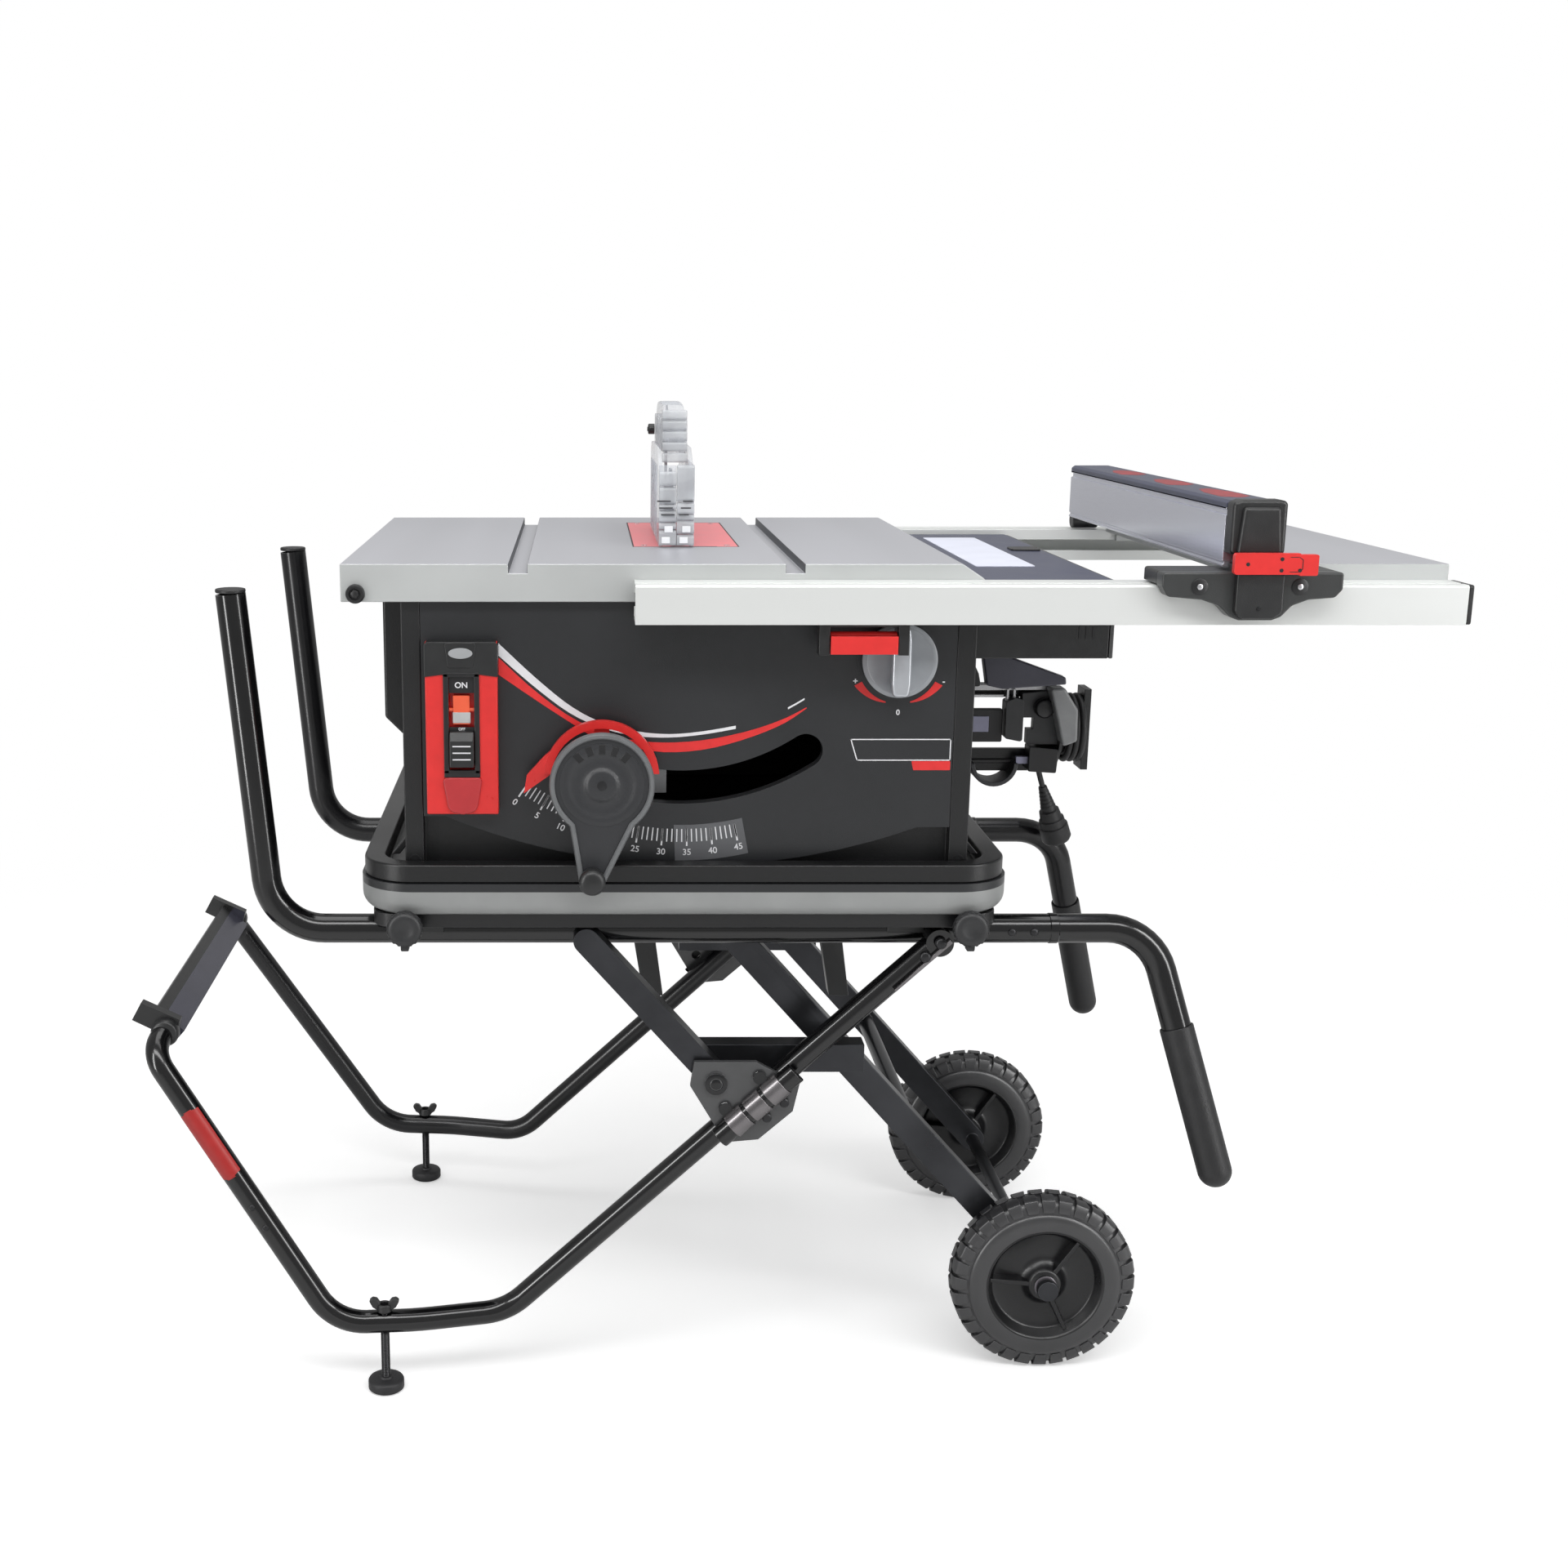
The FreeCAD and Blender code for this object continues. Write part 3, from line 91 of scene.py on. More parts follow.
def studio_floor():
    mesh = bpy.data.meshes.new("floor")
    size = 14
    mesh.from_pydata([(-size, -size, 0), (size, -size, 0), (size, size, 0), (-size, size, 0)], [], [(0, 1, 2, 3)])
    floor = bpy.data.objects.new("floor", mesh)
    bpy.context.collection.objects.link(floor)
    floor.location.z = -0.0006
    material, tree = new_material("pale floor")
    shader = tree.nodes["Principled BSDF"]
    shader.inputs["Base Color"].default_value = (0.93, 0.93, 0.93, 1)
    shader.inputs["Roughness"].default_value = 0.6
    shader.inputs["Specular IOR Level"].default_value = 0.1
    seen = add_node(tree, "ShaderNodeLightPath").outputs["Is Camera Ray"]
    gain = add_node(tree, "ShaderNodeMath", [(1, 0.40)], [(0, seen)], operation="MULTIPLY")
    glow = add_node(tree, "ShaderNodeEmission", [("Color", (1, 1, 1, 1))], [("Strength", gain.outputs[0])])
    both = add_node(tree, "ShaderNodeAddShader", links=[(0, shader.outputs[0]), (1, glow.outputs[0])])
    spot = add_node(tree, "ShaderNodeTexCoord")
    reach = add_node(tree, "ShaderNodeVectorMath", links=[(0, spot.outputs["Object"])], operation="LENGTH")
    fade = add_node(tree, "ShaderNodeMapRange", [("From Min", 0.9), ("From Max", 2.6)],
            [("Value", reach.outputs["Value"])], interpolation_type="SMOOTHSTEP")
    away = add_node(tree, "ShaderNodeMath", links=[(0, fade.outputs[0]), (1, seen)], operation="MULTIPLY")
    white = add_node(tree, "ShaderNodeEmission", [("Color", (1, 1, 1, 1))])
    blend = add_node(tree, "ShaderNodeMixShader", links=[("Fac", away.outputs[0]), (1, both.outputs[0]),
            (2, white.outputs[0])])
    tree.links.new(blend.outputs[0], tree.nodes["Material Output"].inputs["Surface"])
    mesh.materials.append(material)


def studio_light():
    world = bpy.data.worlds.new("studio")
    bpy.context.scene.world = world
    world.use_nodes = True
    tree = world.node_tree
    back = tree.nodes["Background"]
    back.inputs["Color"].default_value = (1, 1, 1, 1)
    path = add_node(tree, "ShaderNodeLightPath")
    seen = add_node(tree, "ShaderNodeMath", links=[(0, path.outputs["Is Camera Ray"]),
            (1, path.outputs["Is Transmission Ray"])], operation="MAXIMUM")
    gloss = add_node(tree, "ShaderNodeMath", [(1, 0.08)], [(0, path.outputs["Is Glossy Ray"]), (2, seen.outputs[0])],
            operation="MULTIPLY_ADD")
    level = add_node(tree, "ShaderNodeMapRange", [("To Min", 0.42), ("To Max", 1.0)], [("Value", gloss.outputs[0])])
    tree.links.new(level.outputs[0], back.inputs["Strength"])
    for name, place, aim, width, height, power in (("key light", (150, -1500, 2600), (250, 200, 700), 3.6, 0.55, 44),
            ("fill light", (2500, -1500, 1700), (300, 200, 600), 0.9, 1.6, 14),
            ("top light", (200, 400, 2900), (200, 250, 800), 2.4, 1.6, 26),
            ("left strip", (-1900, -1500, 900), (200, 200, 450), 0.35, 2.4, 34),
            ("right strip", (2300, -1300, 1100), (250, 200, 450), 0.30, 2.4, 22)):
        lamp = bpy.data.lights.new(name, "AREA")
        lamp.shape = "RECTANGLE"
        lamp.size, lamp.size_y, lamp.energy = width, height, power
        source = bpy.data.objects.new(name, lamp)
        source.visible_diffuse = not name.endswith("strip")
        bpy.context.collection.objects.link(source)
        source.location = at(*place)
        source.rotation_euler = (at(*aim) - at(*place)).to_track_quat("-Z", "Y").to_euler()


studio_floor()
studio_light()


# The power cord is a round black rubber lead. It comes from a gland in the bracket on the cabinet's right side,
# is wound seven times round the wrap for storage, and hangs down behind it to its moulded plug.
def cloudy(tree, noise, colour, low, high, places, dull, rough):
    """Feeds a noise to the shader: a change of tone around the colour, and a change of gloss between two values."""
    shader = tree.nodes["Principled BSDF"]
    tone = add_node(tree, "ShaderNodeValToRGB", links=[("Fac", noise.outputs["Fac"])])
    for element, position, gain in zip(tone.color_ramp.elements, places, (low, high)):
        element.position = position
        element.color = (*[min(c * gain, 1) for c in colour], 1)
    tree.links.new(tone.outputs["Color"], shader.inputs["Base Color"])
    gloss = add_node(tree, "ShaderNodeMapRange", [("To Min", dull), ("To Max", rough)],
            [("Value", noise.outputs["Fac"])])
    tree.links.new(gloss.outputs[0], shader.inputs["Roughness"])


def finish(name, colour, roughness, metallic=0.0, mottle=0.10, size=60.0, grain=0.0, grain_size=900.0, coat=0.0,
        stretch=(1, 1, 1), specular=0.5):
    """A surface with slight changes of tone and gloss, and a fine grain."""
    material, tree = new_material(name)
    shader = tree.nodes["Principled BSDF"]
    for key, value in (("Metallic", metallic), ("Coat Weight", coat), ("Coat Roughness", 0.12),
            ("Specular IOR Level", specular)):
        shader.inputs[key].default_value = value
    spot = add_node(tree, "ShaderNodeTexCoord")
    turn = add_node(tree, "ShaderNodeMapping", [("Scale", stretch)], [("Vector", spot.outputs["Object"])])
    cloud = add_node(tree, "ShaderNodeTexNoise", [("Scale", size), ("Detail", 6)], [("Vector", turn.outputs[0])])
    cloudy(tree, cloud, colour, 1 - mottle, 1 + mottle, (0.3, 0.7), max(roughness - 0.06, 0.02),
            min(roughness + 0.06, 1))
    if grain:
        fine = add_node(tree, "ShaderNodeTexNoise", [("Scale", grain_size), ("Detail", 3)],
                [("Vector", turn.outputs[0])])
        bump = add_node(tree, "ShaderNodeBump", [("Strength", grain), ("Distance", 0.0004)],
                [("Height", fine.outputs["Fac"])])
        tree.links.new(bump.outputs[0], shader.inputs["Normal"])
    return material


def route(name, points, radius, material):
    """A smooth curve of round section through given points."""
    curve = bpy.data.curves.new(name, "CURVE")
    curve.dimensions = "3D"
    curve.bevel_depth = radius
    curve.bevel_resolution = 5
    curve.resolution_u = 6
    curve.use_fill_caps = True
    spline = curve.splines.new("NURBS")
    spline.points.add(len(points) - 1)
    for control, point in zip(spline.points, points):
        control.co = (*at(*point), 1)
    spline.order_u = 3
    spline.use_endpoint_u = True
    curve.materials.append(material)
    item = bpy.data.objects.new(name, curve)
    bpy.context.collection.objects.link(item)
    return item


cord_rubber = finish("cord rubber", (0.014, 0.014, 0.015), 0.52, mottle=0.2, grain=0.25, grain_size=1400)
wrap_low, wrap_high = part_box("cord_winding")
wrap_y = (wrap_low[1] + wrap_high[1]) / 2 * 1000 - DATUM.y * 1000
wrap_z = (wrap_low[2] + wrap_high[2]) / 2 * 1000
cord_points = [(421, 280, 672), (448, 281, 669), (478, 285, 662), (508, 283, 657), (534, 268, 658), (546, 250, 668),
        (547.2, 230, 680)]
turns = [(547.3 + 7.15 * k, 29.9) for k in range(4)] + [(568.7 - 7.15 * k, 37.0) for k in range(3)]
for number, (x, r) in enumerate(turns):
    last = turns[number + 1] if number + 1 < len(turns) else (x, r)
    for step in range(12):
        share = step / 12
        angle = -math.pi / 2 - 2 * math.pi * share
        shift = max(0, (share - 0.75) * 4)
        wide = (r + (last[1] - r) * shift) / 0.983
        cord_points.append((x + (last[0] - x) * shift, wrap_y + wide * math.cos(angle),
                wrap_z + wide * math.sin(angle)))
end_x = turns[-1][0]
for degrees in (-90, -120, -150, -180, -210, -240, -270, -300):
    wide, angle = 37.4, math.radians(degrees)
    cord_points.append((end_x, wrap_y + wide * math.cos(angle), wrap_z + wide * math.sin(angle)))
cord_points += [(555, wrap_y + 42, wrap_z + 18), (555, 285, 713), (558, 330, 702), (564, 372, 682), (571, 402, 655),
        (579, 420, 622), (590, 426, 591)]
cord = route("power_cord", cord_points, 0.0035, cord_rubber)


# The plug is moulded on the lead: a ribbed, tapered strain relief, a stepped round head and two brass pins.
# It isn't plugged in and hangs free.
def ride_on(item, body, *nodes):
    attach(item, body)
    if nodes:
        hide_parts(*nodes)
    return item


def placed(mesh, name, material, body, bevel, segments, angle, nodes):
    """Gives a finished mesh its material, soft edges and a place on a body."""
    mesh.materials.clear()
    mesh.materials.append(material)
    mesh.shade_smooth()
    mesh.set_sharp_from_angle(angle=math.radians(angle))
    item = bpy.data.objects.new(name, mesh)
    bpy.context.collection.objects.link(item)
    if bevel:
        round_off = item.modifiers.new("edges", "BEVEL")
        round_off.width = bevel / 1000
        round_off.segments = segments
        round_off.limit_method = "ANGLE"
        round_off.angle_limit = math.radians(angle)
        round_off.harden_normals = True
        round_off.use_clamp_overlap = True
    return ride_on(item, body, *nodes)


def settle(bm, name, material, body, bevel=0.0, segments=2, angle=32, nodes=()):
    """Makes a finished piece of a mesh, with its faces outwards."""
    bmesh.ops.remove_doubles(bm, verts=bm.verts, dist=1e-6)
    bmesh.ops.recalc_face_normals(bm, faces=bm.faces)
    mesh = bpy.data.meshes.new(name)
    bm.to_mesh(mesh)
    bm.free()
    return placed(mesh, name, material, body, bevel, segments, angle, nodes)


def turned(bm, profile, start, aim, steps=48, closed=False):
    """A turned shape: the profile is (distance along the axis, radius), in millimetres."""
    aim = Vector(aim).normalized()
    side = aim.orthogonal().normalized()
    other = aim.cross(side)
    rings = []
    for along, radius in profile:
        centre = at(*start) + aim * along / 1000
        if radius <= 0:
            rings.append([bm.verts.new(centre)])
            continue
        ring = []
        for step in range(steps):
            angle = 2 * math.pi * step / steps
            ring.append(bm.verts.new(centre + (side * math.cos(angle) + other * math.sin(angle)) * radius / 1000))
        rings.append(ring)
    pairs = list(zip(rings, rings[1:]))
    if closed:
        pairs.append((rings[-1], rings[0]))
    for first, second in pairs:
        if len(first) == 1 and len(second) == 1:
            continue
        for step in range(steps):
            after = (step + 1) % steps
            if len(first) == 1:
                bm.faces.new((first[0], second[after], second[step]))
            elif len(second) == 1:
                bm.faces.new((first[step], first[after], second[0]))
            else:
                bm.faces.new((first[step], first[after], second[after], second[step]))


plug_top = Vector((590, 426, 591))
plug_aim = (plug_top - Vector((579, 420, 622))).normalized()
bm = bmesh.new()
relief = [(0, 0), (0, 5.2)]
for rib in range(6):
    relief += [(2 + rib * 5.2, 5.6 + rib * 0.8), (5 + rib * 5.2, 5.8 + rib * 0.8), (5.4 + rib * 5.2, 4.9 + rib * 0.8)]
relief += [(34, 9.5), (35, 12.6), (47, 14), (48, 16), (57, 16.6), (58, 18.6), (76, 19), (80, 16.5), (80, 0)]
turned(bm, relief, plug_top, plug_aim, 40)
plug = settle(bm, "plug_body", cord_rubber, "root", angle=40, nodes=("power_plug",))
bm = bmesh.new()
base_end = plug_top + plug_aim * 80
side = Vector((0, 1, 0)).cross(plug_aim).normalized()
for across in (-6, 6):
    turned(bm, [(-6, 0), (-6, 2.2), (0.2, 2.2), (0.2, 0)], base_end + side * across, plug_aim, 12)
pins = settle(bm, "plug_pins", finish("plug brass", (0.72, 0.6, 0.34), 0.3, metallic=1.0), "root")
ride_on(cord, "root", "cord_lead", "cord_tail", "cord_winding")


# The table is a die-cast and ground aluminium plate with a skirt, two mitre slots and a recess for the insert.
# Its right edge slopes down. It is bolted to the cabinet and carries the guide blocks of the rails and a bumper.
def copy_of(node, name, material, body, bevel=0.8, segments=2, angle=30):
    """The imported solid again, with its faces joined and its edges softened."""
    bm = bmesh.new()
    bm.from_mesh(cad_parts[node].data)
    bmesh.ops.remove_doubles(bm, verts=bm.verts, dist=0.00002)
    bmesh.ops.dissolve_limit(bm, angle_limit=math.radians(1.5), verts=bm.verts, edges=bm.edges)
    mesh = bpy.data.meshes.new(name)
    bm.to_mesh(mesh)
    bm.free()
    return placed(mesh, name, material, body, bevel, segments, angle, (node,))


def bridge(bm, first, second):
    """Closes both loops and joins them by a wall."""
    bm.faces.new(first)
    bm.faces.new(second[::-1])
    for index in range(len(first)):
        after = (index + 1) % len(first)
        bm.faces.new((first[after], first[index], second[index], second[after]))


def prism(bm, outline, axis, low, high):
    """A plate: an outline in millimetres, carried from one level to another along an axis."""
    sides = []
    for level in (low, high):
        places = {"X": [(level, u, v) for u, v in outline], "Y": [(u, level, v) for u, v in outline],
                "Z": [(u, v, level) for u, v in outline]}[axis]
        sides.append([bm.verts.new(at(*place)) for place in places])
    bridge(bm, *sides)


def rounded(outline, radius):
    """The same outline with its corners rounded; the radius is one value or one for each corner."""
    steps = 5
    radii = radius if isinstance(radius, (list, tuple)) else [radius] * len(outline)
    result = []
    for index, corner in enumerate(outline):
        corner = Vector(corner)
        before = (Vector(outline[index - 1]) - corner)
        after = (Vector(outline[(index + 1) % len(outline)]) - corner)
        angle = before.angle(after)
        reach = radii[index] / math.tan(angle / 2) if radii[index] else 0
        reach = min(reach, before.length * 0.49, after.length * 0.49)
        if reach < 0.05 or angle > 3.1:
            result.append(tuple(corner))
            continue
        a, b = before.normalized(), after.normalized()
        true = reach * math.tan(angle / 2)
        centre = corner + (a + b).normalized() * true / math.sin(angle / 2)
        start, end = corner + a * reach - centre, corner + b * reach - centre
        sweep = start.angle_signed(end)
        for step in range(steps + 1):
            turned_by = Matrix.Rotation(-sweep * step / steps, 2)
            result.append(tuple(centre + turned_by @ start))
    return result


def block(bm, x0, x1, y0, y1, z0, z1):
    prism(bm, [(x0, z0), (x1, z0), (x1, z1), (x0, z1)], "Y", y0, y1)


def plate(name, material, body, outline, axis, low, high, **edges):
    """A piece that is one plate."""
    bm = bmesh.new()
    prism(bm, outline, axis, low, high)
    return settle(bm, name, material, body, **edges)


def lathed(name, material, body, profile, start, aim, steps=48, **edges):
    """A piece that is one turned shape."""
    bm = bmesh.new()
    turned(bm, profile, start, aim, steps)
    return settle(bm, name, material, body, **edges)


ground = finish("ground aluminium", (0.56, 0.565, 0.60), 0.36, metallic=0.55, mottle=0.035, size=9, grain=0.12,
        grain_size=420, stretch=(1, 0.04, 1))
cast_edge = finish("cast aluminium", (0.50, 0.515, 0.51), 0.5, metallic=0.25, mottle=0.03, size=14, grain=0.15)
table = copy_of("table_top", "table_plate", ground, "root", bevel=1.1)
table.data.materials.append(cast_edge)
# The third finish is a dark copy for the side walls of the mitre slots and the insert recess: painted shade in these
# recesses, not a colour of the aluminium.
table.data.materials.append(finish("slot wall painted shade", (0.10, 0.105, 0.115), 0.42, metallic=0.3, mottle=0.08, size=30))
for face in table.data.polygons:
    if face.normal.z < 0.5:
        face.material_index = 1
    if abs(face.normal.x) > 0.9 and face.center.z > 0.9 and at(-200, 0, 0).x < face.center.x < at(350, 0, 0).x:
        face.material_index = 2
bumper = (-232.2, 0, 892)
bm = bmesh.new()
turned(bm, [(0, 0), (0, 8), (2, 9.8), (7, 9.8), (9, 8.6), (9, 6.2), (6, 5.6), (5, 0)], bumper, (0, -1, 0), 36)
turned(bm, [(4.6, 0), (4.6, 4.4), (7.4, 4.4), (7.8, 3.6), (7.8, 0)], bumper, (0, -1, 0), 6)
black_plastic = finish("black moulded plastic", (0.010, 0.010, 0.011), 0.38, mottle=0.18, grain=0.3, grain_size=1600)
settle(bm, "corner_bumper", black_plastic, "root")
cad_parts["rail_guides"].data.materials[0] = black_plastic


# The throat insert is a red moulded plate that drops into the table's recess; four small screws level it.
# Like many repeated parts, the screws are one screw that a rule sets out in a row or a ring.
def set_out_rule():
    """Each copy of the part is turned and moved one step on from the last."""
    rule = bpy.data.node_groups.new("rows and rings of parts", "GeometryNodeTree")
    sockets = {}
    for label, kind in (("Part", "Geometry"), ("Count", "Int"), ("Step turn", "Vector"), ("Pivot", "Vector"),
            ("Step move", "Vector"), ("Finish", "Material")):
        sockets[label] = rule.interface.new_socket(label, in_out="INPUT", socket_type="NodeSocket" + kind).identifier
    rule.interface.new_socket("Row", in_out="OUTPUT", socket_type="NodeSocketGeometry")
    nodes, links = rule.nodes, rule.links
    given, result = nodes.new("NodeGroupInput"), nodes.new("NodeGroupOutput")
    points, copies = nodes.new("GeometryNodePoints"), nodes.new("GeometryNodeInstanceOnPoints")
    links.new(given.outputs["Count"], points.inputs["Count"])
    links.new(points.outputs[0], copies.inputs["Points"])
    links.new(given.outputs["Part"], copies.inputs["Instance"])
    number = nodes.new("GeometryNodeInputIndex")
    steps = []
    for label in ("Step turn", "Step move"):
        step = nodes.new("ShaderNodeVectorMath")
        step.operation = "SCALE"
        links.new(given.outputs[label], step.inputs[0])
        links.new(number.outputs[0], step.inputs["Scale"])
        steps.append(step.outputs[0])
    turn, move = nodes.new("GeometryNodeRotateInstances"), nodes.new("GeometryNodeTranslateInstances")
    turn.inputs["Local Space"].default_value = False
    move.inputs["Local Space"].default_value = False
    links.new(copies.outputs[0], turn.inputs["Instances"])
    links.new(steps[0], turn.inputs["Rotation"])
    links.new(given.outputs["Pivot"], turn.inputs["Pivot Point"])
    links.new(turn.outputs[0], move.inputs["Instances"])
    links.new(steps[1], move.inputs["Translation"])
    real, coat = nodes.new("GeometryNodeRealizeInstances"), nodes.new("GeometryNodeSetMaterial")
    links.new(move.outputs[0], real.inputs[0])
    links.new(real.outputs[0], coat.inputs["Geometry"])
    links.new(given.outputs["Finish"], coat.inputs["Material"])
    links.new(coat.outputs[0], result.inputs[0])
    return rule, sockets


row_rule, row_sockets = set_out_rule()


def repeated(bm, name, material, body, count, turn=(0, 0, 0), pivot=(0, 0, 0), move=(0, 0, 0), bevel=0.0, segments=2,
        angle=32, nodes=()):
    """A row or ring of one part: count, the turn in degrees about a pivot, and the move in millimetres."""
    bmesh.ops.remove_doubles(bm, verts=bm.verts, dist=1e-6)
    bmesh.ops.recalc_face_normals(bm, faces=bm.faces)
    mesh = bpy.data.meshes.new(name + "_one")
    bm.to_mesh(mesh)
    bm.free()
    one = bpy.data.objects.new(name + "_one", mesh)
    bpy.context.collection.objects.link(one)
    row = one.modifiers.new("row", "NODES")
    row.node_group = row_rule
    for label, value in (("Count", count), ("Step turn", [math.radians(a) for a in turn]),
            ("Pivot", list(at(*pivot))), ("Step move", [m / 1000 for m in move]), ("Finish", material)):
        row[row_sockets[label]] = value
    bpy.context.view_layer.update()
    whole = bpy.data.meshes.new_from_object(one.evaluated_get(bpy.context.evaluated_depsgraph_get()))
    one.modifiers.remove(row)
    bpy.data.objects.remove(one)
    bm = bmesh.new()
    bm.from_mesh(whole)
    return settle(bm, name, material, body, bevel=bevel, segments=segments, angle=angle, nodes=nodes)


red_plastic = finish("red moulded plastic", (0.76, 0.030, 0.028), 0.30, mottle=0.05, grain=0.2, grain_size=1500)
insert_red = finish("insert plastic", (0.86, 0.22, 0.24), 0.34, mottle=0.05, grain=0.2, grain_size=1500)
copy_of("throat_insert", "insert_plate", insert_red, "root", bevel=0.5)
# Thin dark sheets line the gaps round the insert and along its front edge: painted shade in the gaps.
bm = bmesh.new()
for x0, x1, y0, y1 in ((56.2, 57.6, 177.2, 485.8), (173.4, 174.8, 177.2, 485.8), (57.6, 173.4, 177.2, 178.6),
        (57.6, 173.4, 484.4, 485.8)):
    block(bm, x0, x1, y0, y1, 921.7, 922.1)
block(bm, 99, 150, 178.6, 181.4, 921.7, 922.15)
settle(bm, "insert_gap_shade", finish("gap shadow", (0.045, 0.03, 0.03), 0.6, mottle=0.1), "root")
screw_steel = finish("zinc plated steel", (0.62, 0.62, 0.64), 0.28, metallic=1.0, mottle=0.08, size=200)
dark_steel = finish("blackened steel", (0.03, 0.03, 0.032), 0.33, metallic=0.6, mottle=0.15, size=120)
for x, side in ((69, "left"), (162, "right")):
    bm = bmesh.new()
    turned(bm, [(-2, 0), (-2, 3.6), (0.25, 3.6), (0.35, 3.0), (0.35, 1.8), (-0.8, 1.7), (-0.8, 0)], (x, 192, 922),
            (0, 0, 1), 20)
    repeated(bm, "insert_screws_" + side, screw_steel, "root", 2, move=(0, 279, 0))


# Two extruded aluminium rails hold the rip fence and slide sideways in the table's guide blocks.
# Their outer faces are plain, their tops have a bead for the fence, and each right end has a black cap.
rail_white = finish("anodised aluminium", (0.80, 0.815, 0.80), 0.34, metallic=0.35, mottle=0.02, size=10, grain=0.1,
        grain_size=500, stretch=(0.04, 1, 1))
for node, inner, outer in (("front_rail", -0.4, -47.4), ("rear_rail", 565.4, 612.4)):
    way = 1 if outer < inner else -1
    outline = [(outer, 866), (inner, 866), (inner, 879), (inner - way * 3, 879), (inner - way * 3, 869.5),
            (outer + way * 3, 869.5), (outer + way * 3, 902.5), (inner - way * 3, 902.5), (inner - way * 3, 893),
            (inner, 893), (inner, 906), (outer + way * 20, 906), (outer + way * 20, 904.8), (outer + way * 14, 904.8),
            (outer + way * 14, 906), (outer + way * 2, 906), (outer, 904)]
    plate(node + "_profile", rail_white, "extension", outline, "X", 53, 886, bevel=0.35, nodes=(node,))
    plate(node + "_cap", black_plastic, "extension", rounded([(outer, 866), (inner, 866), (inner, 906), (outer, 906)],
            3), "X", 886, 891, bevel=1.2)


# The extension wing is a narrow cast plate that joins the two rails and holds wide work to the right of the table.
wing = copy_of("extension_wing", "wing_plate", ground, "extension", bevel=1.0)
wing.data.materials.append(cast_edge)
for face in wing.data.polygons:
    if face.normal.z < 0.5:
        face.material_index = 1


# The rip fence is a tall aluminium extrusion with a dark plastic cover over its top, a moulded cap, a head that
# hooks over the front rail and a roller at the back. A red lever across the head clamps it.
fence_side = finish("fence aluminium", (0.76, 0.77, 0.85), 0.2, metallic=0.75, mottle=0.03, size=6, grain=0.06,
        grain_size=500, stretch=(1, 0.05, 1))
fence_blue = finish("slate plastic", (0.050, 0.056, 0.098), 0.36, mottle=0.06, size=20, grain=0.3, grain_size=1500)
satin_black = finish("satin black plastic", (0.017, 0.0175, 0.018), 0.34, mottle=0.14, size=40, grain=0.35,
        grain_size=1500)
f_low, f_high = 923.6, 989.6
plate("fence_beam_profile", fence_side, "rip_fence", [(640, f_low), (686, f_low), (686, f_high - 7),
        (640, f_high - 7), (640, f_high - 9), (642.5, f_high - 10), (642.5, f_high - 14), (640, f_high - 15),
        (640, f_low + 6), (641.5, f_low + 5), (641.5, f_low + 3), (640, f_low + 2)], "Y", -38, 566, bevel=0.3)
plate("fence_top_cover", fence_blue, "rip_fence", rounded([(640, f_high - 9), (640, f_high - 3), (644, f_high),
        (688, f_high), (694, f_high - 6), (694, f_low + 3), (686.2, f_low + 3), (686.2, f_high - 9)],
        [0.5, 2, 2, 3, 3, 1, 0.5, 0.5]), "Y", -38, 566, bevel=0.5, nodes=("fence_cover",))
plate("fence_front_cap", satin_black, "rip_fence", rounded([(640, f_low + 14), (694, f_low + 14), (694, f_high),
        (686, f_high + 1.8), (648, f_high + 1.8), (640, f_high - 1)], [4, 4, 6, 6, 5, 5]), "Y", -60, -38, bevel=5,
        segments=5, angle=50)
plate("fence_cap_panel", satin_black, "rip_fence", rounded([(645, f_low + 14), (690, f_low + 14), (686, f_high - 5),
        (649, f_high - 5)], 4), "Y", -65.5, -57, bevel=5.5, segments=2, angle=45)
head_screw = (609, -69, 907)
head = [(572, 921), (572, 908), (578, 897), (612, 894), (630, 888), (641, 877), (650, 873.5), (683, 873.5),
        (692, 877), (702, 888), (718, 894), (744, 896), (751, 904), (751, 921)]
bm = bmesh.new()
prism(bm, rounded(head, [3, 4, 6, 10, 12, 8, 6, 6, 8, 12, 10, 6, 4, 3]), "Y", -69, -48)
head_grey = finish("fence head plastic", (0.036, 0.038, 0.038), 0.34, mottle=0.10, size=30, grain=0.3,
        grain_size=1500)
settle(bm, "fence_head_plate", head_grey, "rip_fence", bevel=2.2, segments=4, nodes=("fence_head", "fence_beam"))
bm = bmesh.new()
prism(bm, rounded([(572, 907.4), (572, 921), (751, 921), (751, 907.4)], [1, 3, 3, 1]), "Y", -49, -6)
block(bm, 646, 688, -58, -38, 919, 927.6)
settle(bm, "fence_head_saddle", satin_black, "rip_fence", bevel=1.2)
plate("fence_head_boss", satin_black, "rip_fence", rounded([(643, 921), (643, 882), (651, 876), (681, 876),
        (690, 882), (690, 921)], [2, 6, 6, 6, 6, 2]), "Y", -77, -66, bevel=4.5, segments=5, angle=50)
bm = bmesh.new()
turned(bm, [(-1, 0), (-1, 8.2), (0.6, 8.2), (1.0, 7.4), (1.0, 0)], head_screw, (0, -1, 0), 28)
repeated(bm, "head_screw_seats", black_plastic, "rip_fence", 2, move=(99, 0, 0))
bm = bmesh.new()
turned(bm, [(0.5, 0), (0.5, 3.0), (1.8, 2.8), (2.2, 2.0), (2.2, 0)], head_screw, (0, -1, 0), 24)
repeated(bm, "head_screws", screw_steel, "rip_fence", 2, move=(99, 0, 0))
lathed("head_pin", dark_steel, "rip_fence", [(0, 0), (0, 2.2), (0.8, 2.0), (0.8, 0)], (666, -77, 886), (0, -1, 0), 16)
bm = bmesh.new()
block(bm, 648, 682, 566, 580, 925, 947)
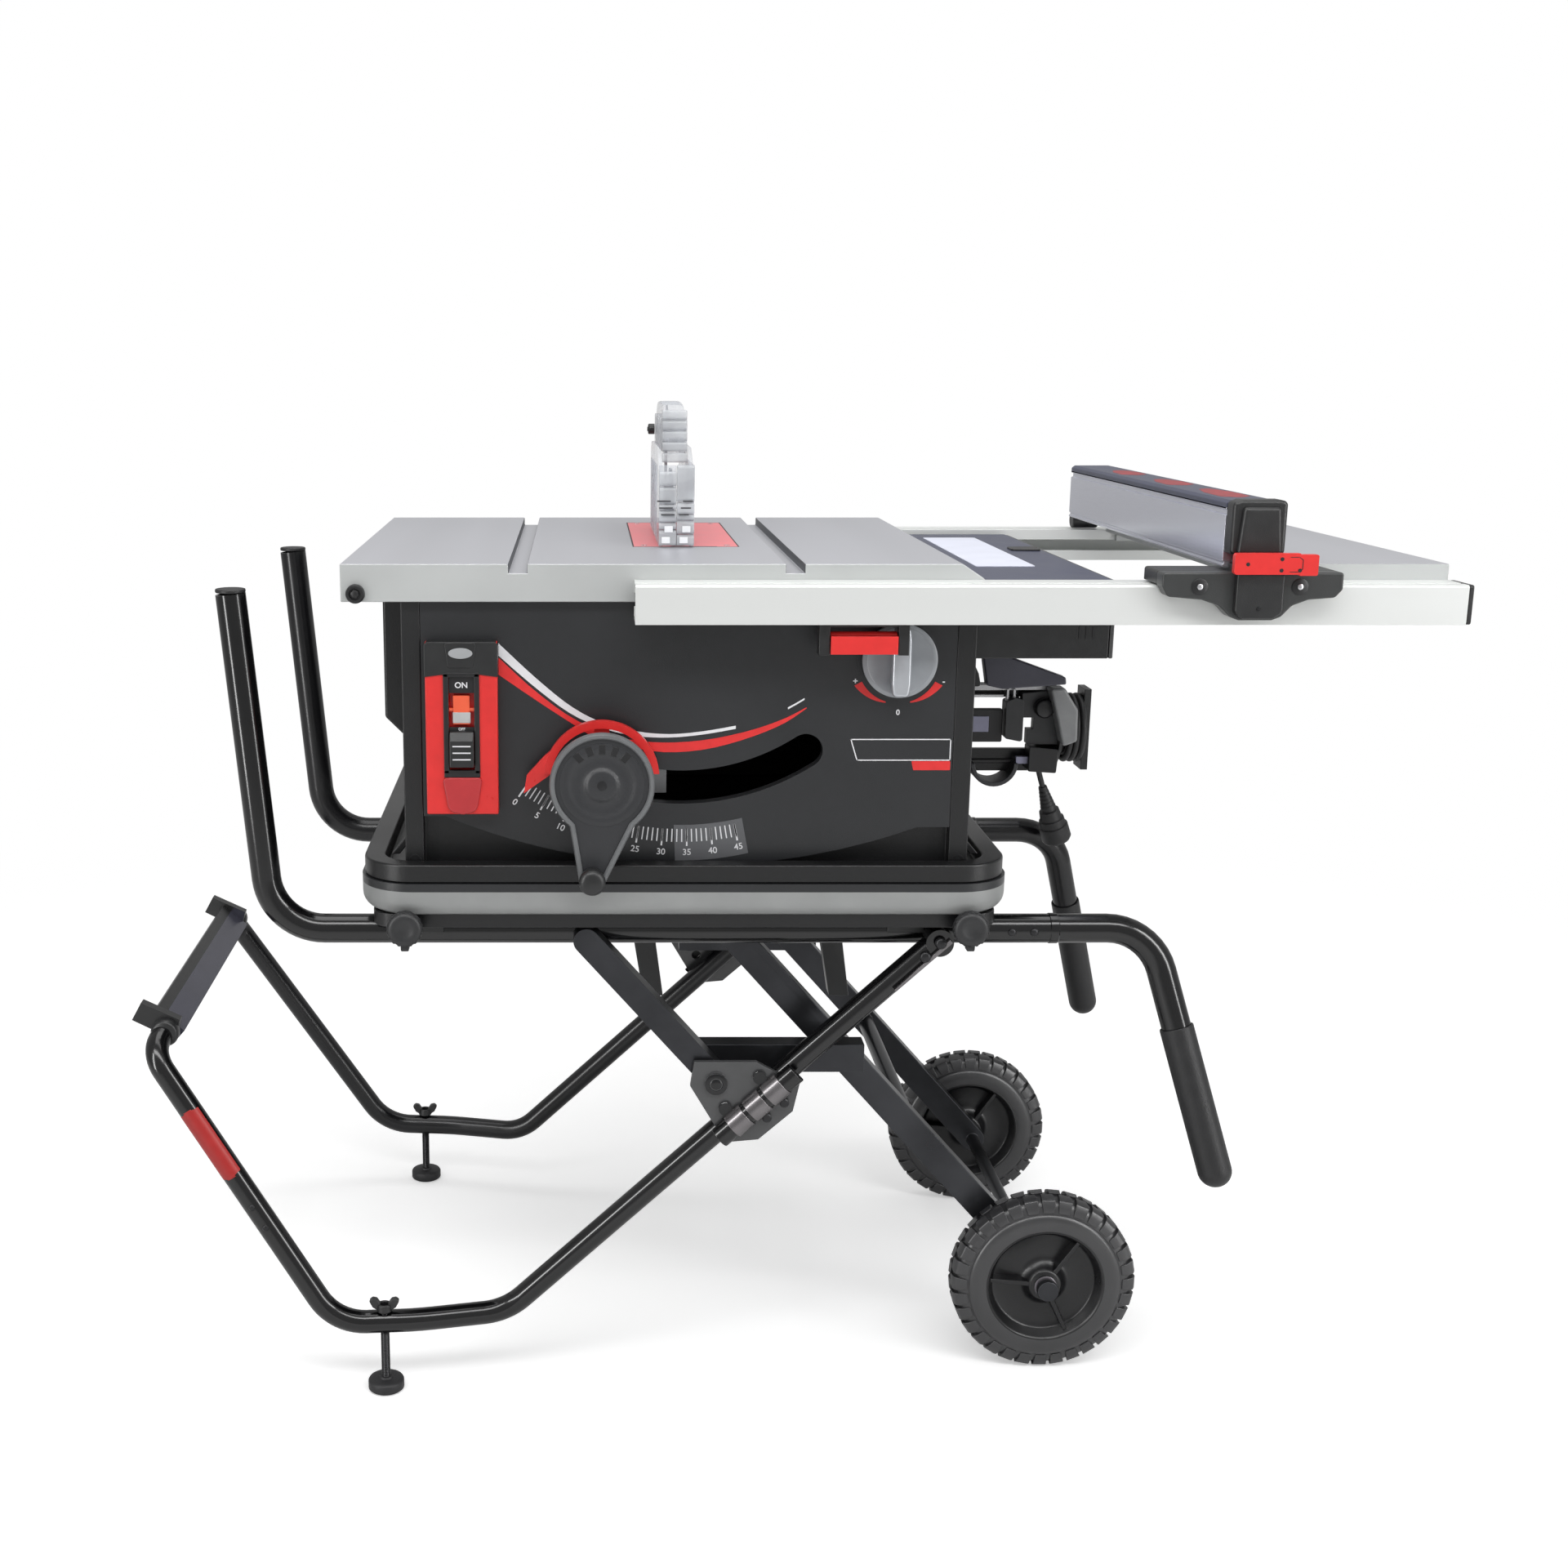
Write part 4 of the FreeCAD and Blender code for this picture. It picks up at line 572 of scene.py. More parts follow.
turned(bm, [(0, 0), (0, 10), (1, 11), (33, 11), (34, 10), (34, 0)], (648, 584, 918), (1, 0, 0), 36)
settle(bm, "fence_rear_roller", satin_black, "rip_fence", bevel=1)
bm = bmesh.new()
prism(bm, rounded([(636, 920.8), (700, 920.8), (700, 919.8), (718, 919.8), (718, 940.4), (700, 940.4), (700, 941.6),
        (636, 941.6)], [3, 1, 1, 2, 2, 1, 1, 3]), "Y", -86, -79)
block(bm, 644, 690, -80, -58.4, 925.6, 937.6)
settle(bm, "clamp_lever", red_plastic, "fence_handle", bevel=1.3, segments=3, nodes=("fence_lever",))
bm = bmesh.new()
for x, z in ((649, 931), (682, 925), (682, 936), (700, 925)):
    turned(bm, [(-0.5, 0), (-0.5, 1.9), (0.4, 1.9), (0.4, 0)], (x, -86, z), (0, -1, 0), 14)
for x0, x1, z0, z1 in ((690, 698, 937.6, 938.2), (690, 698, 923.2, 923.8)):
    block(bm, x0, x1, -86.2, -85.8, z0, z1)
prism(bm, [(698, 938.2), (702, 935), (702, 926.4), (698, 923.2), (698.8, 923.2), (702.8, 926), (702.8, 935.4),
        (698.8, 938.2)], "Y", -86.2, -85.8)
settle(bm, "lever_pins", black_plastic, "fence_handle")
ember = finish("red print", (0.30, 0.022, 0.03), 0.42, mottle=0.4, size=160)
bm = bmesh.new()
for start, length in ((10, 120), (190, 100), (370, 90)):
    prism(bm, rounded([(650, start), (668, start - 12), (682, start + 6), (684, start + length * 0.55),
            (676, start + length), (662, start + length * 0.9), (652, start + length * 0.5)], 7), "Z", f_high - 0.2,
            f_high + 0.15)
settle(bm, "fence_cover_patches", ember, "rip_fence")


# The storage case hangs under the table's right side: a charcoal box with a slate lid, a pale card holder on it
# and a black catch. Its drawer pulls out to the right.
copy_of("storage_case", "storage_case_shell", satin_black, "root", bevel=1.5, segments=3)
drawer_grey = finish("drawer plastic", (0.060, 0.061, 0.062), 0.36, mottle=0.10, size=16, grain=0.3, grain_size=1300)
copy_of("storage_drawer", "storage_drawer_box", drawer_grey, "drawer", bevel=1.2, segments=2)
plate("storage_lid", fence_blue, "root", rounded([(415, 42), (553.6, 42), (553.6, 554), (415, 554)], 4), "Z", 899.6,
        901.0, bevel=0.4)
plate("storage_card", finish("pale card", (0.72, 0.74, 0.84), 0.5, mottle=0.03, size=30), "root",
        rounded([(437, 167), (503, 167), (503, 500), (437, 500)], 3), "Z", 900.6, 901.8, bevel=0.2)
plate("storage_catch", black_plastic, "root", rounded([(515, 340), (550, 336), (552, 376), (516, 372)], 6), "Z",
        900.6, 903.0, bevel=0.8)
bm = bmesh.new()
block(bm, 521.5, 524, 39.2, 40.4, 839, 852)
repeated(bm, "case_slots", black_plastic, "drawer", 3, move=(7.2, 0, 0))


# The cabinet is a charcoal moulded housing with two front columns. A bowed front panel with a curved slot for
# the tilt scale closes it, and a screw holds each column's foot.
charcoal = finish("charcoal plastic", (0.0085, 0.0088, 0.0095), 0.36, mottle=0.10, size=12, grain=0.45,
        grain_size=1300)
charcoal_light = finish("charcoal column", (0.026, 0.027, 0.030), 0.36, mottle=0.10, size=12, grain=0.45,
        grain_size=1300)
copy_of("cabinet_shell", "cabinet_housing", charcoal, "root", bevel=1.6, segments=3)
panel_charcoal = finish("panel plastic", (0.021, 0.022, 0.024), 0.30, mottle=0.12, size=8, grain=0.4, grain_size=1300)
copy_of("front_panel", "bowed_panel", panel_charcoal, "root", bevel=1.0, segments=2)


def front_plate(name, outline, y, thick, material, bevel=0.3):
    """A thin plate or print on a face that looks to the front."""
    return plate(name, material, "root", outline, "Y", y - thick, y + 0.4, bevel=bevel)


bm = bmesh.new()
turned(bm, [(-0.5, 0), (-0.5, 7.2), (0.6, 6.6), (0.6, 5.2), (-0.3, 5.0), (-0.3, 0)], (-178, 10, 606), (0, -1, 0), 24)
repeated(bm, "column_screws", dark_steel, "root", 2, move=(577, 0, 0))
pale_print = finish("white print", (0.78, 0.78, 0.80), 0.45, mottle=0.03, size=90)
red_print = finish("red print on panel", (0.74, 0.028, 0.028), 0.38, mottle=0.06, size=90)


def band(name, upper, lower, y, material):
    """A curved stripe between two lines of the same number of points."""
    bm = bmesh.new()
    count = 28

    def along(line, share):
        place = share * (len(line) - 1)
        index = min(int(place), len(line) - 2)
        t = place - index
        points = [Vector(line[min(max(index + k, 0), len(line) - 1)]) for k in (-1, 0, 1, 2)]
        return 0.5 * ((2 * points[1]) + (points[2] - points[0]) * t
                      + (2 * points[0] - 5 * points[1] + 4 * points[2] - points[3]) * t * t
                      + (3 * points[1] - points[0] - 3 * points[2] + points[3]) * t * t * t)

    rows = []
    for step in range(count + 1):
        top, low = along(upper, step / count), along(lower, step / count)
        rows.append([bm.verts.new(at(u, level, v)) for u, v,
                level in ((*top, y), (*low, y), (*low, y + 0.6), (*top, y + 0.6))])
    for first, second in zip(rows, rows[1:]):
        for k in range(4):
            bm.faces.new((first[k], first[(k + 1) % 4], second[(k + 1) % 4], second[k]))
    bm.faces.new(rows[0])
    bm.faces.new(rows[-1][::-1])
    return settle(bm, name, material, "root")


face_y = 9.75
band("white_sweep", [(-87, 839), (-49, 803), (-11, 772), (24, 754), (57, 746), (91, 743), (126, 746), (160.5, 752)],
        [(-87, 826), (-52, 795), (-14, 766), (22, 749), (57, 741), (91, 739.4), (126, 742.6), (160.5, 748.6)], face_y,
        pale_print)
band("red_sweep", [(-87, 824), (-54, 793), (-15, 763), (23, 744.3), (55, 736.4), (92, 734), (134, 737.6),
        (177, 747.3), (211, 759.5), (234, 771.6)], [(-87, 806), (-54, 783), (-15, 757), (23, 734), (57, 727.5),
        (92, 723.6), (134, 727.7), (177, 740), (211, 754.6), (234, 770.4)], face_y, red_print)
band("white_sweep_tip", [(214.5, 771.4), (223, 776.2), (231.6, 781.3)],
        [(214.8, 769.4), (223.4, 774.4), (231.8, 779.6)], face_y, pale_print)

# The tilt scale is printed below the curved slot: a tick every degree, a longer one every five, with its number.
slot_x, slot_z, scale_r = 104.0, 922.0, 281.5
scale_grey = finish("scale ground", (0.11, 0.113, 0.12), 0.42, mottle=0.08, size=20, grain=0.3, grain_size=1300)


def on_arc(radius, degrees):
    turn = math.radians(degrees)
    return slot_x + radius * math.sin(turn), slot_z - radius * math.cos(turn)


zero_turn, full_turn = -34.8, 11.6
patch = [on_arc(277, -1.5 + 15 * k / 16) for k in range(17)] + [on_arc(316, 13.2 - 14.2 * k / 16) for k in range(17)]
front_plate("scale_ground_plate", patch, face_y + 0.1, 0.12, scale_grey, bevel=0)
for label, first, count, long, wide, step in (("long", 0, 10, 18.5, 0.17, 5), ("short", 1, 45, 14.0, 0.12, 1)):
    turn = zero_turn + (full_turn - zero_turn) * first / 45
    bm = bmesh.new()
    prism(bm, [on_arc(scale_r, turn - wide), on_arc(scale_r, turn + wide), on_arc(scale_r + long, turn + wide),
            on_arc(scale_r + long, turn - wide)], "Y", face_y - 0.15, face_y + 0.3)
    repeated(bm, "tilt_ticks_" + label, pale_print, "root", count, turn=(0, -(full_turn - zero_turn) * step / 45, 0),
            pivot=(slot_x, 0, slot_z))


def lettered(name, words, height, material, place, turn=0.0, body="root", bold=0.0):
    """Numbers or ON and OFF as thin raised print on a front face."""
    text = bpy.data.curves.new(name, "FONT")
    text.body = words
    text.size = height / 1000
    text.align_x = "CENTER"
    text.align_y = "CENTER"
    text.extrude = 0.00012
    text.offset = bold / 1000
    shape = bpy.data.objects.new(name + "_curve", text)
    bpy.context.collection.objects.link(shape)
    bpy.context.view_layer.update()
    mesh = bpy.data.meshes.new_from_object(shape.evaluated_get(bpy.context.evaluated_depsgraph_get()))
    bpy.data.objects.remove(shape)
    move = Matrix.Translation(at(*place)) @ Matrix.Rotation(math.pi / 2, 4, "X") @ Matrix.Rotation(turn, 4, "Z")
    mesh.transform(move)
    mesh.name = name
    mesh.materials.clear()
    mesh.materials.append(material)
    item = bpy.data.objects.new(name, mesh)
    bpy.context.collection.objects.link(item)
    return ride_on(item, body)


for number in (0, 5, 10, 25, 30, 35, 40, 45):
    turn = zero_turn + (full_turn - zero_turn) * number / 45
    x, z = on_arc(scale_r + 25.5, turn)
    lettered("tilt_number_%d" % number, str(number), 9.5, pale_print, (x, face_y - 0.2, z), math.radians(turn),
            bold=0.1)

# A plain outlined place for a plate, with a red tab, sits at the panel's right.
bm = bmesh.new()
for x0, x1, z0, z1 in ((288, 386.6, 714.6, 715.7), (280.6, 386.6, 736.8, 737.9), (385.5, 386.6, 714.6, 737.9)):
    block(bm, x0, x1, face_y - 0.15, face_y + 0.3, z0, z1)
prism(bm, [(280.6, 737.9), (281.8, 737.9), (289.2, 714.6), (288, 714.6)], "Y", face_y - 0.15, face_y + 0.3)
settle(bm, "plate_outline", pale_print, "root")
front_plate("plate_tab", rounded([(345.6, 714.2), (386.6, 714.2), (386.6, 704.4), (348, 704.4)], 1.0), face_y, 0.15,
        red_print, bevel=0)


# The switch plate is a two-colour moulding on the panel's left: a black top with a tab, and a red body.
# It carries an ON rocker and a big black stop paddle in a black bezel.
copy_of("switch_plate", "switch_body", red_plastic, "root", bevel=1.6, segments=3)
plate("switch_top", satin_black, "root", rounded([(-163.4, 806), (-163.4, 840), (-161, 842.6), (-89.6, 842.6),
        (-87.2, 840), (-87.2, 806), (-106, 808.5), (-144, 808.5)], [1, 4, 4, 4, 4, 1, 4, 4]), "Y", -6.4, 10.4,
        bevel=1.4, segments=3)
front_plate("switch_tab", rounded([(-142, 842), (-139, 816), (-113, 816), (-109, 842)], 3), -6.4, 1.2, satin_black,
        bevel=0.8)
bm = bmesh.new()
oval = [(-125.5 + 12.5 * math.cos(math.tau * k / 32), 831 + 5.6 * math.sin(math.tau * k / 32)) for k in range(32)]
prism(bm, oval, "Y", -8.0, -6.6)
settle(bm, "switch_oval", finish("grey cap", (0.36, 0.37, 0.38), 0.4, mottle=0.05), "root", bevel=0.4)
bm = bmesh.new()
for x0, x1, z0, z1 in ((-144, -138.4, 704, 810), (-112.1, -106.5, 704, 810), (-144, -106.5, 700, 708.1),
        (-144, -106.5, 805.9, 811)):
    block(bm, x0, x1, -7.2, -3, z0, z1)
settle(bm, "switch_bezel", black_plastic, "root", bevel=0.9)
bm = bmesh.new()
block(bm, -138.2, -112.3, 6.2, 7.6, 708.3, 805.7)
settle(bm, "switch_well", black_plastic, "root", bevel=0)
bm = bmesh.new()
block(bm, -138.2, -112.3, -3.6, -2.2, 789, 805.6)
settle(bm, "switch_label", black_plastic, "root", bevel=0.2)
bm = bmesh.new()
block(bm, -138.2, -112.3, -3.6, -2.2, 748.6, 753.0)
settle(bm, "paddle_label", black_plastic, "paddle", bevel=0.2)
lettered("switch_on", "ON", 8.5, pale_print, (-125.3, -3.75, 797), bold=0.15)
lettered("switch_off", "OFF", 4.0, pale_print, (-125.3, -3.75, 750.9), body="paddle", bold=0.1)
orange = finish("rocker plastic", (0.90, 0.13, 0.055), 0.3, mottle=0.04, grain=0.1)
copy_of("switch_rocker", "on_rocker", orange, "rocker", bevel=0.7)
copy_of("switch_paddle", "stop_paddle", satin_black, "paddle", bevel=1.2, segments=3)
bm = bmesh.new()
for z in (720, 727, 734):
    block(bm, -134.6, -115.8, -14.3, -13.6, z, z + 1.3)
settle(bm, "paddle_lines", pale_print, "paddle")
bm = bmesh.new()
block(bm, -134.5, -116.0, -3.5, -2.2, 757.2, 768.6)
settle(bm, "rocker_lower_face", finish("rocker grey", (0.50, 0.50, 0.50), 0.4, mottle=0.05), "rocker", bevel=0.5)
plate("switch_tongue", finish("deep red plastic", (0.50, 0.03, 0.035), 0.36, mottle=0.06, grain=0.2), "root",
        rounded([(-146, 700), (-140, 664), (-125, 660), (-110, 664), (-104, 700)], [4, 10, 14, 10, 4]), "Y", -8.6, -5,
        bevel=2.6, segments=4, angle=50)


# The micro adjuster is a disc with a straight finger grip that works the fence's fine drive; a plain print of a
# plus, a minus and a nought with red arcs shows its turn. The extension lock is a red lever in a black bracket.
dial_x, dial_z = 328, 822.4
knob_grey = finish("light grey plastic", (0.30, 0.315, 0.335), 0.34, mottle=0.05, grain=0.2, grain_size=1400)
lathed("adjuster_disc", knob_grey, "micro_adjuster", [(-8.5, 0), (-8.5, 33), (-7, 37), (-4, 38.7), (2.0, 38.8),
        (2.6, 37.6), (3.0, 34.5), (2.2, 33.2), (2.2, 0)], (dial_x, 0, dial_z), (0, -1, 0), 72, angle=35,
        nodes=("micro_knob",))
plate("adjuster_grip", finish("bright grip", (0.52, 0.54, 0.57), 0.24, metallic=0.5, mottle=0.05), "micro_adjuster",
        rounded([(320, 786), (336, 786), (338, 800), (338, 845), (336, 859), (320, 859), (318, 845), (318, 800)], 5),
        "Y", -15.8, -2, bevel=3.4, segments=4, angle=50)
bm = bmesh.new()
turned(bm, [(0, 39), (0, 42.5), (0.6, 42.5), (0.6, 39)], (dial_x, 9.9, dial_z), (0, -1, 0), 72, closed=True)
settle(bm, "adjuster_ring", charcoal_light, "root")
bm = bmesh.new()
for start, end in ((-62, -17), (62, 17)):
    inner, outer = [], []
    for step in range(13):
        turn = math.radians(start + (end - start) * step / 12)
        deep = 44.5 + 7.5 * (1 - step / 12)
        inner.append((329 + 43.2 * math.sin(turn), 819 - 43.2 * math.cos(turn)))
        outer.append((329 + deep * math.sin(turn), 819 - deep * math.cos(turn)))
    prism(bm, inner + outer[::-1], "Y", face_y - 0.15, face_y + 0.3)
settle(bm, "adjuster_arcs", red_print, "root")
for words, x, z, tall in (("+", 284, 799, 9), ("-", 376, 799, 9), ("0", 329.5, 766, 8)):
    lettered("adjuster_sign_%d" % x, words, tall, pale_print, (x, face_y - 0.2, z), bold=0.2)
copy_of("lever_bracket", "lock_bracket", satin_black, "root", bevel=0.8)
copy_of("lock_lever", "rail_lock_lever", red_plastic, "extension_lock", bevel=1.4, segments=3)


# The height crank is a light grey rim with a dark face and a spinning knob. Behind it a red squeeze lever
# frees the tilt; its long pointer runs along the scale.
def inset(outline, distance):
    """The outline moved inwards by a distance, corner by corner."""
    result = []
    for index, corner in enumerate(outline):
        before, after = Vector(outline[index - 1]), Vector(outline[(index + 1) % len(outline)])
        along = (after - before).normalized()
        result.append((corner[0] - along.y * distance, corner[1] + along.x * distance))
    return result


rim_grey = finish("crank rim plastic", (0.155, 0.16, 0.165), 0.36, mottle=0.06, grain=0.2, grain_size=1400)
crank_x, crank_z = 20.1, 701.4
bm = bmesh.new()
teardrop = []
for step in range(49):
    turn = math.radians(-52 + 284 * step / 48)
    teardrop.append((crank_x + 54 * math.cos(turn), crank_z + 54 * math.sin(turn)))
for step in range(17):
    turn = math.radians(212 + 124 * step / 16)
    teardrop.append((10.1 + 15.5 * math.cos(turn), 604.5 + 13 * math.sin(turn)))
inner_edge = inset(teardrop, 5.6)
loops = [[bm.verts.new(at(x, y, z)) for x, z in loop] for loop,
        y in ((teardrop, -42.5), (teardrop, -50.2), (inset(teardrop, 1.4), -52), (inset(teardrop, 4.2), -52),
        (inner_edge, -50.4), (inner_edge, -42.5))]
for first, second in zip(loops, loops[1:] + loops[:1]):
    for k in range(len(teardrop)):
        after = (k + 1) % len(teardrop)
        bm.faces.new((first[k], first[after], second[after], second[k]))
settle(bm, "crank_rim", rim_grey, "crank", angle=40, nodes=("handwheel",))
bm = bmesh.new()
prism(bm, inset(teardrop, 4.9), "Y", -48.4, -39)
turned(bm, [(0, 0), (0, 43.4), (0.5, 43.4), (1.2, 40), (1.2, 34), (0.2, 32.6), (0.2, 19), (1.2, 17.6), (2.6, 15.4),
        (3.4, 13.6), (3.4, 0)], (crank_x, -48.4, crank_z), (0, -1, 0), 72)
turned(bm, [(0, 0), (0, 15), (22, 15), (22, 0)], (crank_x, -39, crank_z), (0, 1, 0), 24)
settle(bm, "crank_face", charcoal_light, "crank", angle=40)
bm = bmesh.new()
first = math.radians(50)
across, along = Vector((math.sin(first), -math.cos(first))), Vector((math.cos(first), math.sin(first)))
middle = Vector((crank_x, crank_z)) + along * 37.5
prism(bm, [tuple(middle + across * a + along * b) for a, b in ((-3.4, -5), (3.4, -5), (3.8, 5), (-3.8, 5))], "Y",
        -49.8, -48)
repeated(bm, "crank_notches", black_plastic, "crank", 5, turn=(0, -20, 0), pivot=(crank_x, 0, crank_z), bevel=0.5)
lathed("crank_screw", dark_steel, "crank", [(0, 0), (0, 4.4), (0.8, 5.0), (1.2, 3.5), (1.2, 0)],
        (crank_x, -51.6, crank_z), (0, -1, 0), 28)
lathed("crank_knob_grip", satin_black, "crank_knob", [(0, 0), (0, 9.5), (1.5, 11.2), (8, 12.4), (16, 13.6),
        (20, 13.8), (23, 12.4), (25, 8.5), (25.2, 0)], (10.1, -50, 604), (0, -1, 0), 48, angle=50,
        nodes=("handwheel_knob",))
copy_of("squeeze_lever", "tilt_release", red_plastic, "tilt_unit", bevel=1.2, segments=3)
for node in ("tilt_carriage", "arbor_block"):
    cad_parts[node].data.materials[0] = finish(node + " casting", (0.36, 0.37, 0.38), 0.5, metallic=0.4,
            mottle=0.12, size=30, grain=0.5)
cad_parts["motor"].data.materials[0] = finish("motor paint", (0.05, 0.05, 0.055), 0.45, metallic=0.2,
        mottle=0.15, grain=0.5)


# The blade guard is clear ribbed plastic around a narrow spine, carried on the riving knife with two side
# shields that lift as the work passes. The blade is a thin carbide-tipped disc.
def clear_finish(name, colour, cloud, roughness, alpha):
    """A clear moulding: partly see-through, with a faint cloud in its tone and gloss."""
    material, tree = new_material(name)
    shader = tree.nodes["Principled BSDF"]
    shader.inputs["IOR"].default_value = 1.45
    shader.inputs["Alpha"].default_value = alpha
    spot = add_node(tree, "ShaderNodeTexCoord")
    noise = add_node(tree, "ShaderNodeTexNoise", [("Scale", 35), ("Detail", 5)], [("Vector", spot.outputs["Object"])])
    cloudy(tree, noise, colour, 1 - cloud, 1, (0.35, 0.7), roughness, roughness + 0.12)
    return material


guard_clear = clear_finish("clear guard plastic", (0.76, 0.78, 0.81), 0.25, 0.08, 0.52)
shield_clear = clear_finish("clear shield plastic", (0.70, 0.73, 0.78), 0.18, 0.10, 0.34)
bm = bmesh.new()
spine = [(226, 1020), (480, 1020), (484, 1050), (440, 1070)]
for start, end in (((440, 1070), (390, 1073)), ((390, 1073), (345, 1073)), ((345, 1073), (300, 1073)),
        ((300, 1073), (262, 1069)), ((262, 1069), (226, 1040))):
    for step in range(1, 8):
        share = step / 7
        bulge = math.sin(math.pi * share) ** 0.4 * 3.8
        spine.append((start[0] + (end[0] - start[0]) * share, start[1] + (end[1] - start[1]) * share + bulge))
prism(bm, spine, "X", 92, 116)
settle(bm, "guard_spine", shield_clear, "saw_unit", bevel=2.2, segments=3, nodes=("guard_housing",))
bm = bmesh.new()
prism(bm, rounded([(220, 1012), (231, 1012), (233, 1022.5), (222, 1022.5)], [3, 1, 1, 3]), "X", 89.9, 118.1)
repeated(bm, "guard_spine_ridges", guard_clear, "saw_unit", 5, move=(0, 2.8, 11.8), bevel=1.6, segments=3)
bm = bmesh.new()
for y in (250, 296, 342, 388, 432):
    prism(bm, rounded([(y - 14, 1024), (y + 14, 1024), (y + 14, 1060), (y - 14, 1060)], 6), "X", 89.6, 118.4)
settle(bm, "guard_spine_windows", guard_clear, "saw_unit", bevel=0.15)
# Dark bars on the guard's nose stand in for the dark edges that the clear plastic shows: painted shade.
nose_painted_shade = finish("guard painted shade", (0.06, 0.06, 0.065), 0.25, mottle=0.2, size=60)
# Pale bars on the guard's nose are painted highlights of the clear plastic.
nose_painted_highlight = finish("guard painted highlight", (0.85, 0.86, 0.88), 0.12, mottle=0.05, size=60)
for node, name in (("left_shield", "left_guard_shield"), ("right_shield", "right_guard_shield")):
    body = "shield_a" if node == "left_shield" else "shield_b"
    copy_of(node, name, shield_clear, body, bevel=0.6)
    low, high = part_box(node)
    x0, x1 = low.x * 1000 - DATUM.x * 1000, high.x * 1000 - DATUM.x * 1000
    outer, way = (x0, -1) if node == "left_shield" else (x1, 1)
    bm = bmesh.new()
    prism(bm, rounded([(214, 930), (217, 930), (217, 1010), (214, 1010)], 1.2), "X", min(outer, outer + way * 2.2),
            max(outer, outer + way * 2.2))
    repeated(bm, name + "_ribs", shield_clear, body, 7, move=(0, 25, 0), bevel=0.5)
    x_in = 103.8 if node == "left_shield" else 104.2
    low_x, high_x = min(outer, x_in), max(outer, x_in)
    heights = ((924, 941), (942, 949), (950, 963), (964.5, 969), (970, 988), (989.5, 1005)) if way < 0 else \
              ((924, 936), (937, 951), (952.5, 958), (959, 971), (972.5, 1012))
    bm = bmesh.new()
    for k, (low_z, high_z) in enumerate(heights):
        front = 164.4 + (k % 3) * 1.1
        prism(bm, rounded([(front, low_z), (174, low_z), (174, high_z), (front, high_z)], [4, 1, 1, 4]), "X", low_x,
                high_x)
    settle(bm, name + "_nose_segments", guard_clear, body, bevel=1.5, segments=3)
    # Three dark bars on the nose front: painted shade lines.
    bm = bmesh.new()
    block(bm, low_x + 2, high_x - 4 * (way > 0) - 2, 163.9, 165.2, 957.6, 959.2)
    repeated(bm, name + "_nose_shade_lines", nose_painted_shade, body, 3, move=(2.2 * way, 0, 7.4), bevel=0.4)
    # Two pale bars on the nose front: painted highlights.
    bm = bmesh.new()
    block(bm, low_x + 3, high_x - 7, 163.9, 165.2, 927, 934)
    repeated(bm, name + "_nose_painted_highlights", nose_painted_highlight, body, 2, move=(3, 0.3, 12), bevel=0.6)
    plate(name + "_nose", shield_clear, body, rounded([(low_x, 925), (high_x, 925), (high_x, 1012), (low_x, 1012)],
            1), "Y", 171, 175, bevel=1.2)
    plate(name + "_lip", shield_clear, body, rounded([(190, 927), (410, 927), (410, 930), (190, 930)], 1), "X",
            min(outer, outer + way * 1.2), max(outer, outer + way * 1.2), bevel=0.6)
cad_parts["shield_link"].data.materials[0] = shield_clear
knife_steel = finish("ground steel", (0.42, 0.43, 0.45), 0.3, metallic=0.95, mottle=0.06, size=20, grain=0.15,
        grain_size=500, stretch=(1, 0.1, 1))
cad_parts["riving_knife"].data.materials[0] = knife_steel
bm = bmesh.new()
turned(bm, [(0, 0), (0, 6.5), (7, 6.5), (8, 5.4), (8, 0)], (90.2, 470, 1040), (-1, 0, 0), 28)
turned(bm, [(7, 0), (7, 3.2), (9, 3.0), (9, 0)], (90.2, 470, 1040), (-1, 0, 0), 6)
settle(bm, "guard_latch_knob", satin_black, "saw_unit", bevel=0.4)
bm = bmesh.new()
count, radius = 24, 127.0
centre = Vector((104, 320, 874))
ring = []
for k in range(count):
    base = math.tau * k / count
    for turn, r in ((0.0, 108), (0.035, 121), (0.06, 125.5), (0.085, 126.8), (0.10, 121), (0.13, 112), (0.19, 107)):
        angle = base + turn * 1.25
        ring.append((centre.y + r * math.cos(angle), centre.z + r * math.sin(angle)))
prism(bm, ring, "X", 102.9, 105.1)
turned(bm, [(-2.2, 0), (-2.2, 15), (-0.9, 19), (3.1, 19), (4.4, 15), (4.4, 0)], (102.9, centre.y, centre.z),
        (1, 0, 0), 48)
settle(bm, "blade_disc", finish("blade steel", (0.34, 0.345, 0.36), 0.28, metallic=1.0, mottle=0.08, size=30,
        grain=0.1), "spindle", nodes=("saw_blade",))
bm = bmesh.new()
prism(bm, [(centre.y + r * math.cos(t * 1.25), centre.z + r * math.sin(t * 1.25)) for r,
        t in ((121.5, 0.088), (126.9, 0.090), (126.7, 0.074), (121.5, 0.080))], "X", 102.75, 105.25)
repeated(bm, "carbide_teeth", finish("carbide", (0.55, 0.55, 0.56), 0.22, metallic=0.9), "spindle", count,
        turn=(360 / count, 0, 0), pivot=tuple(centre))


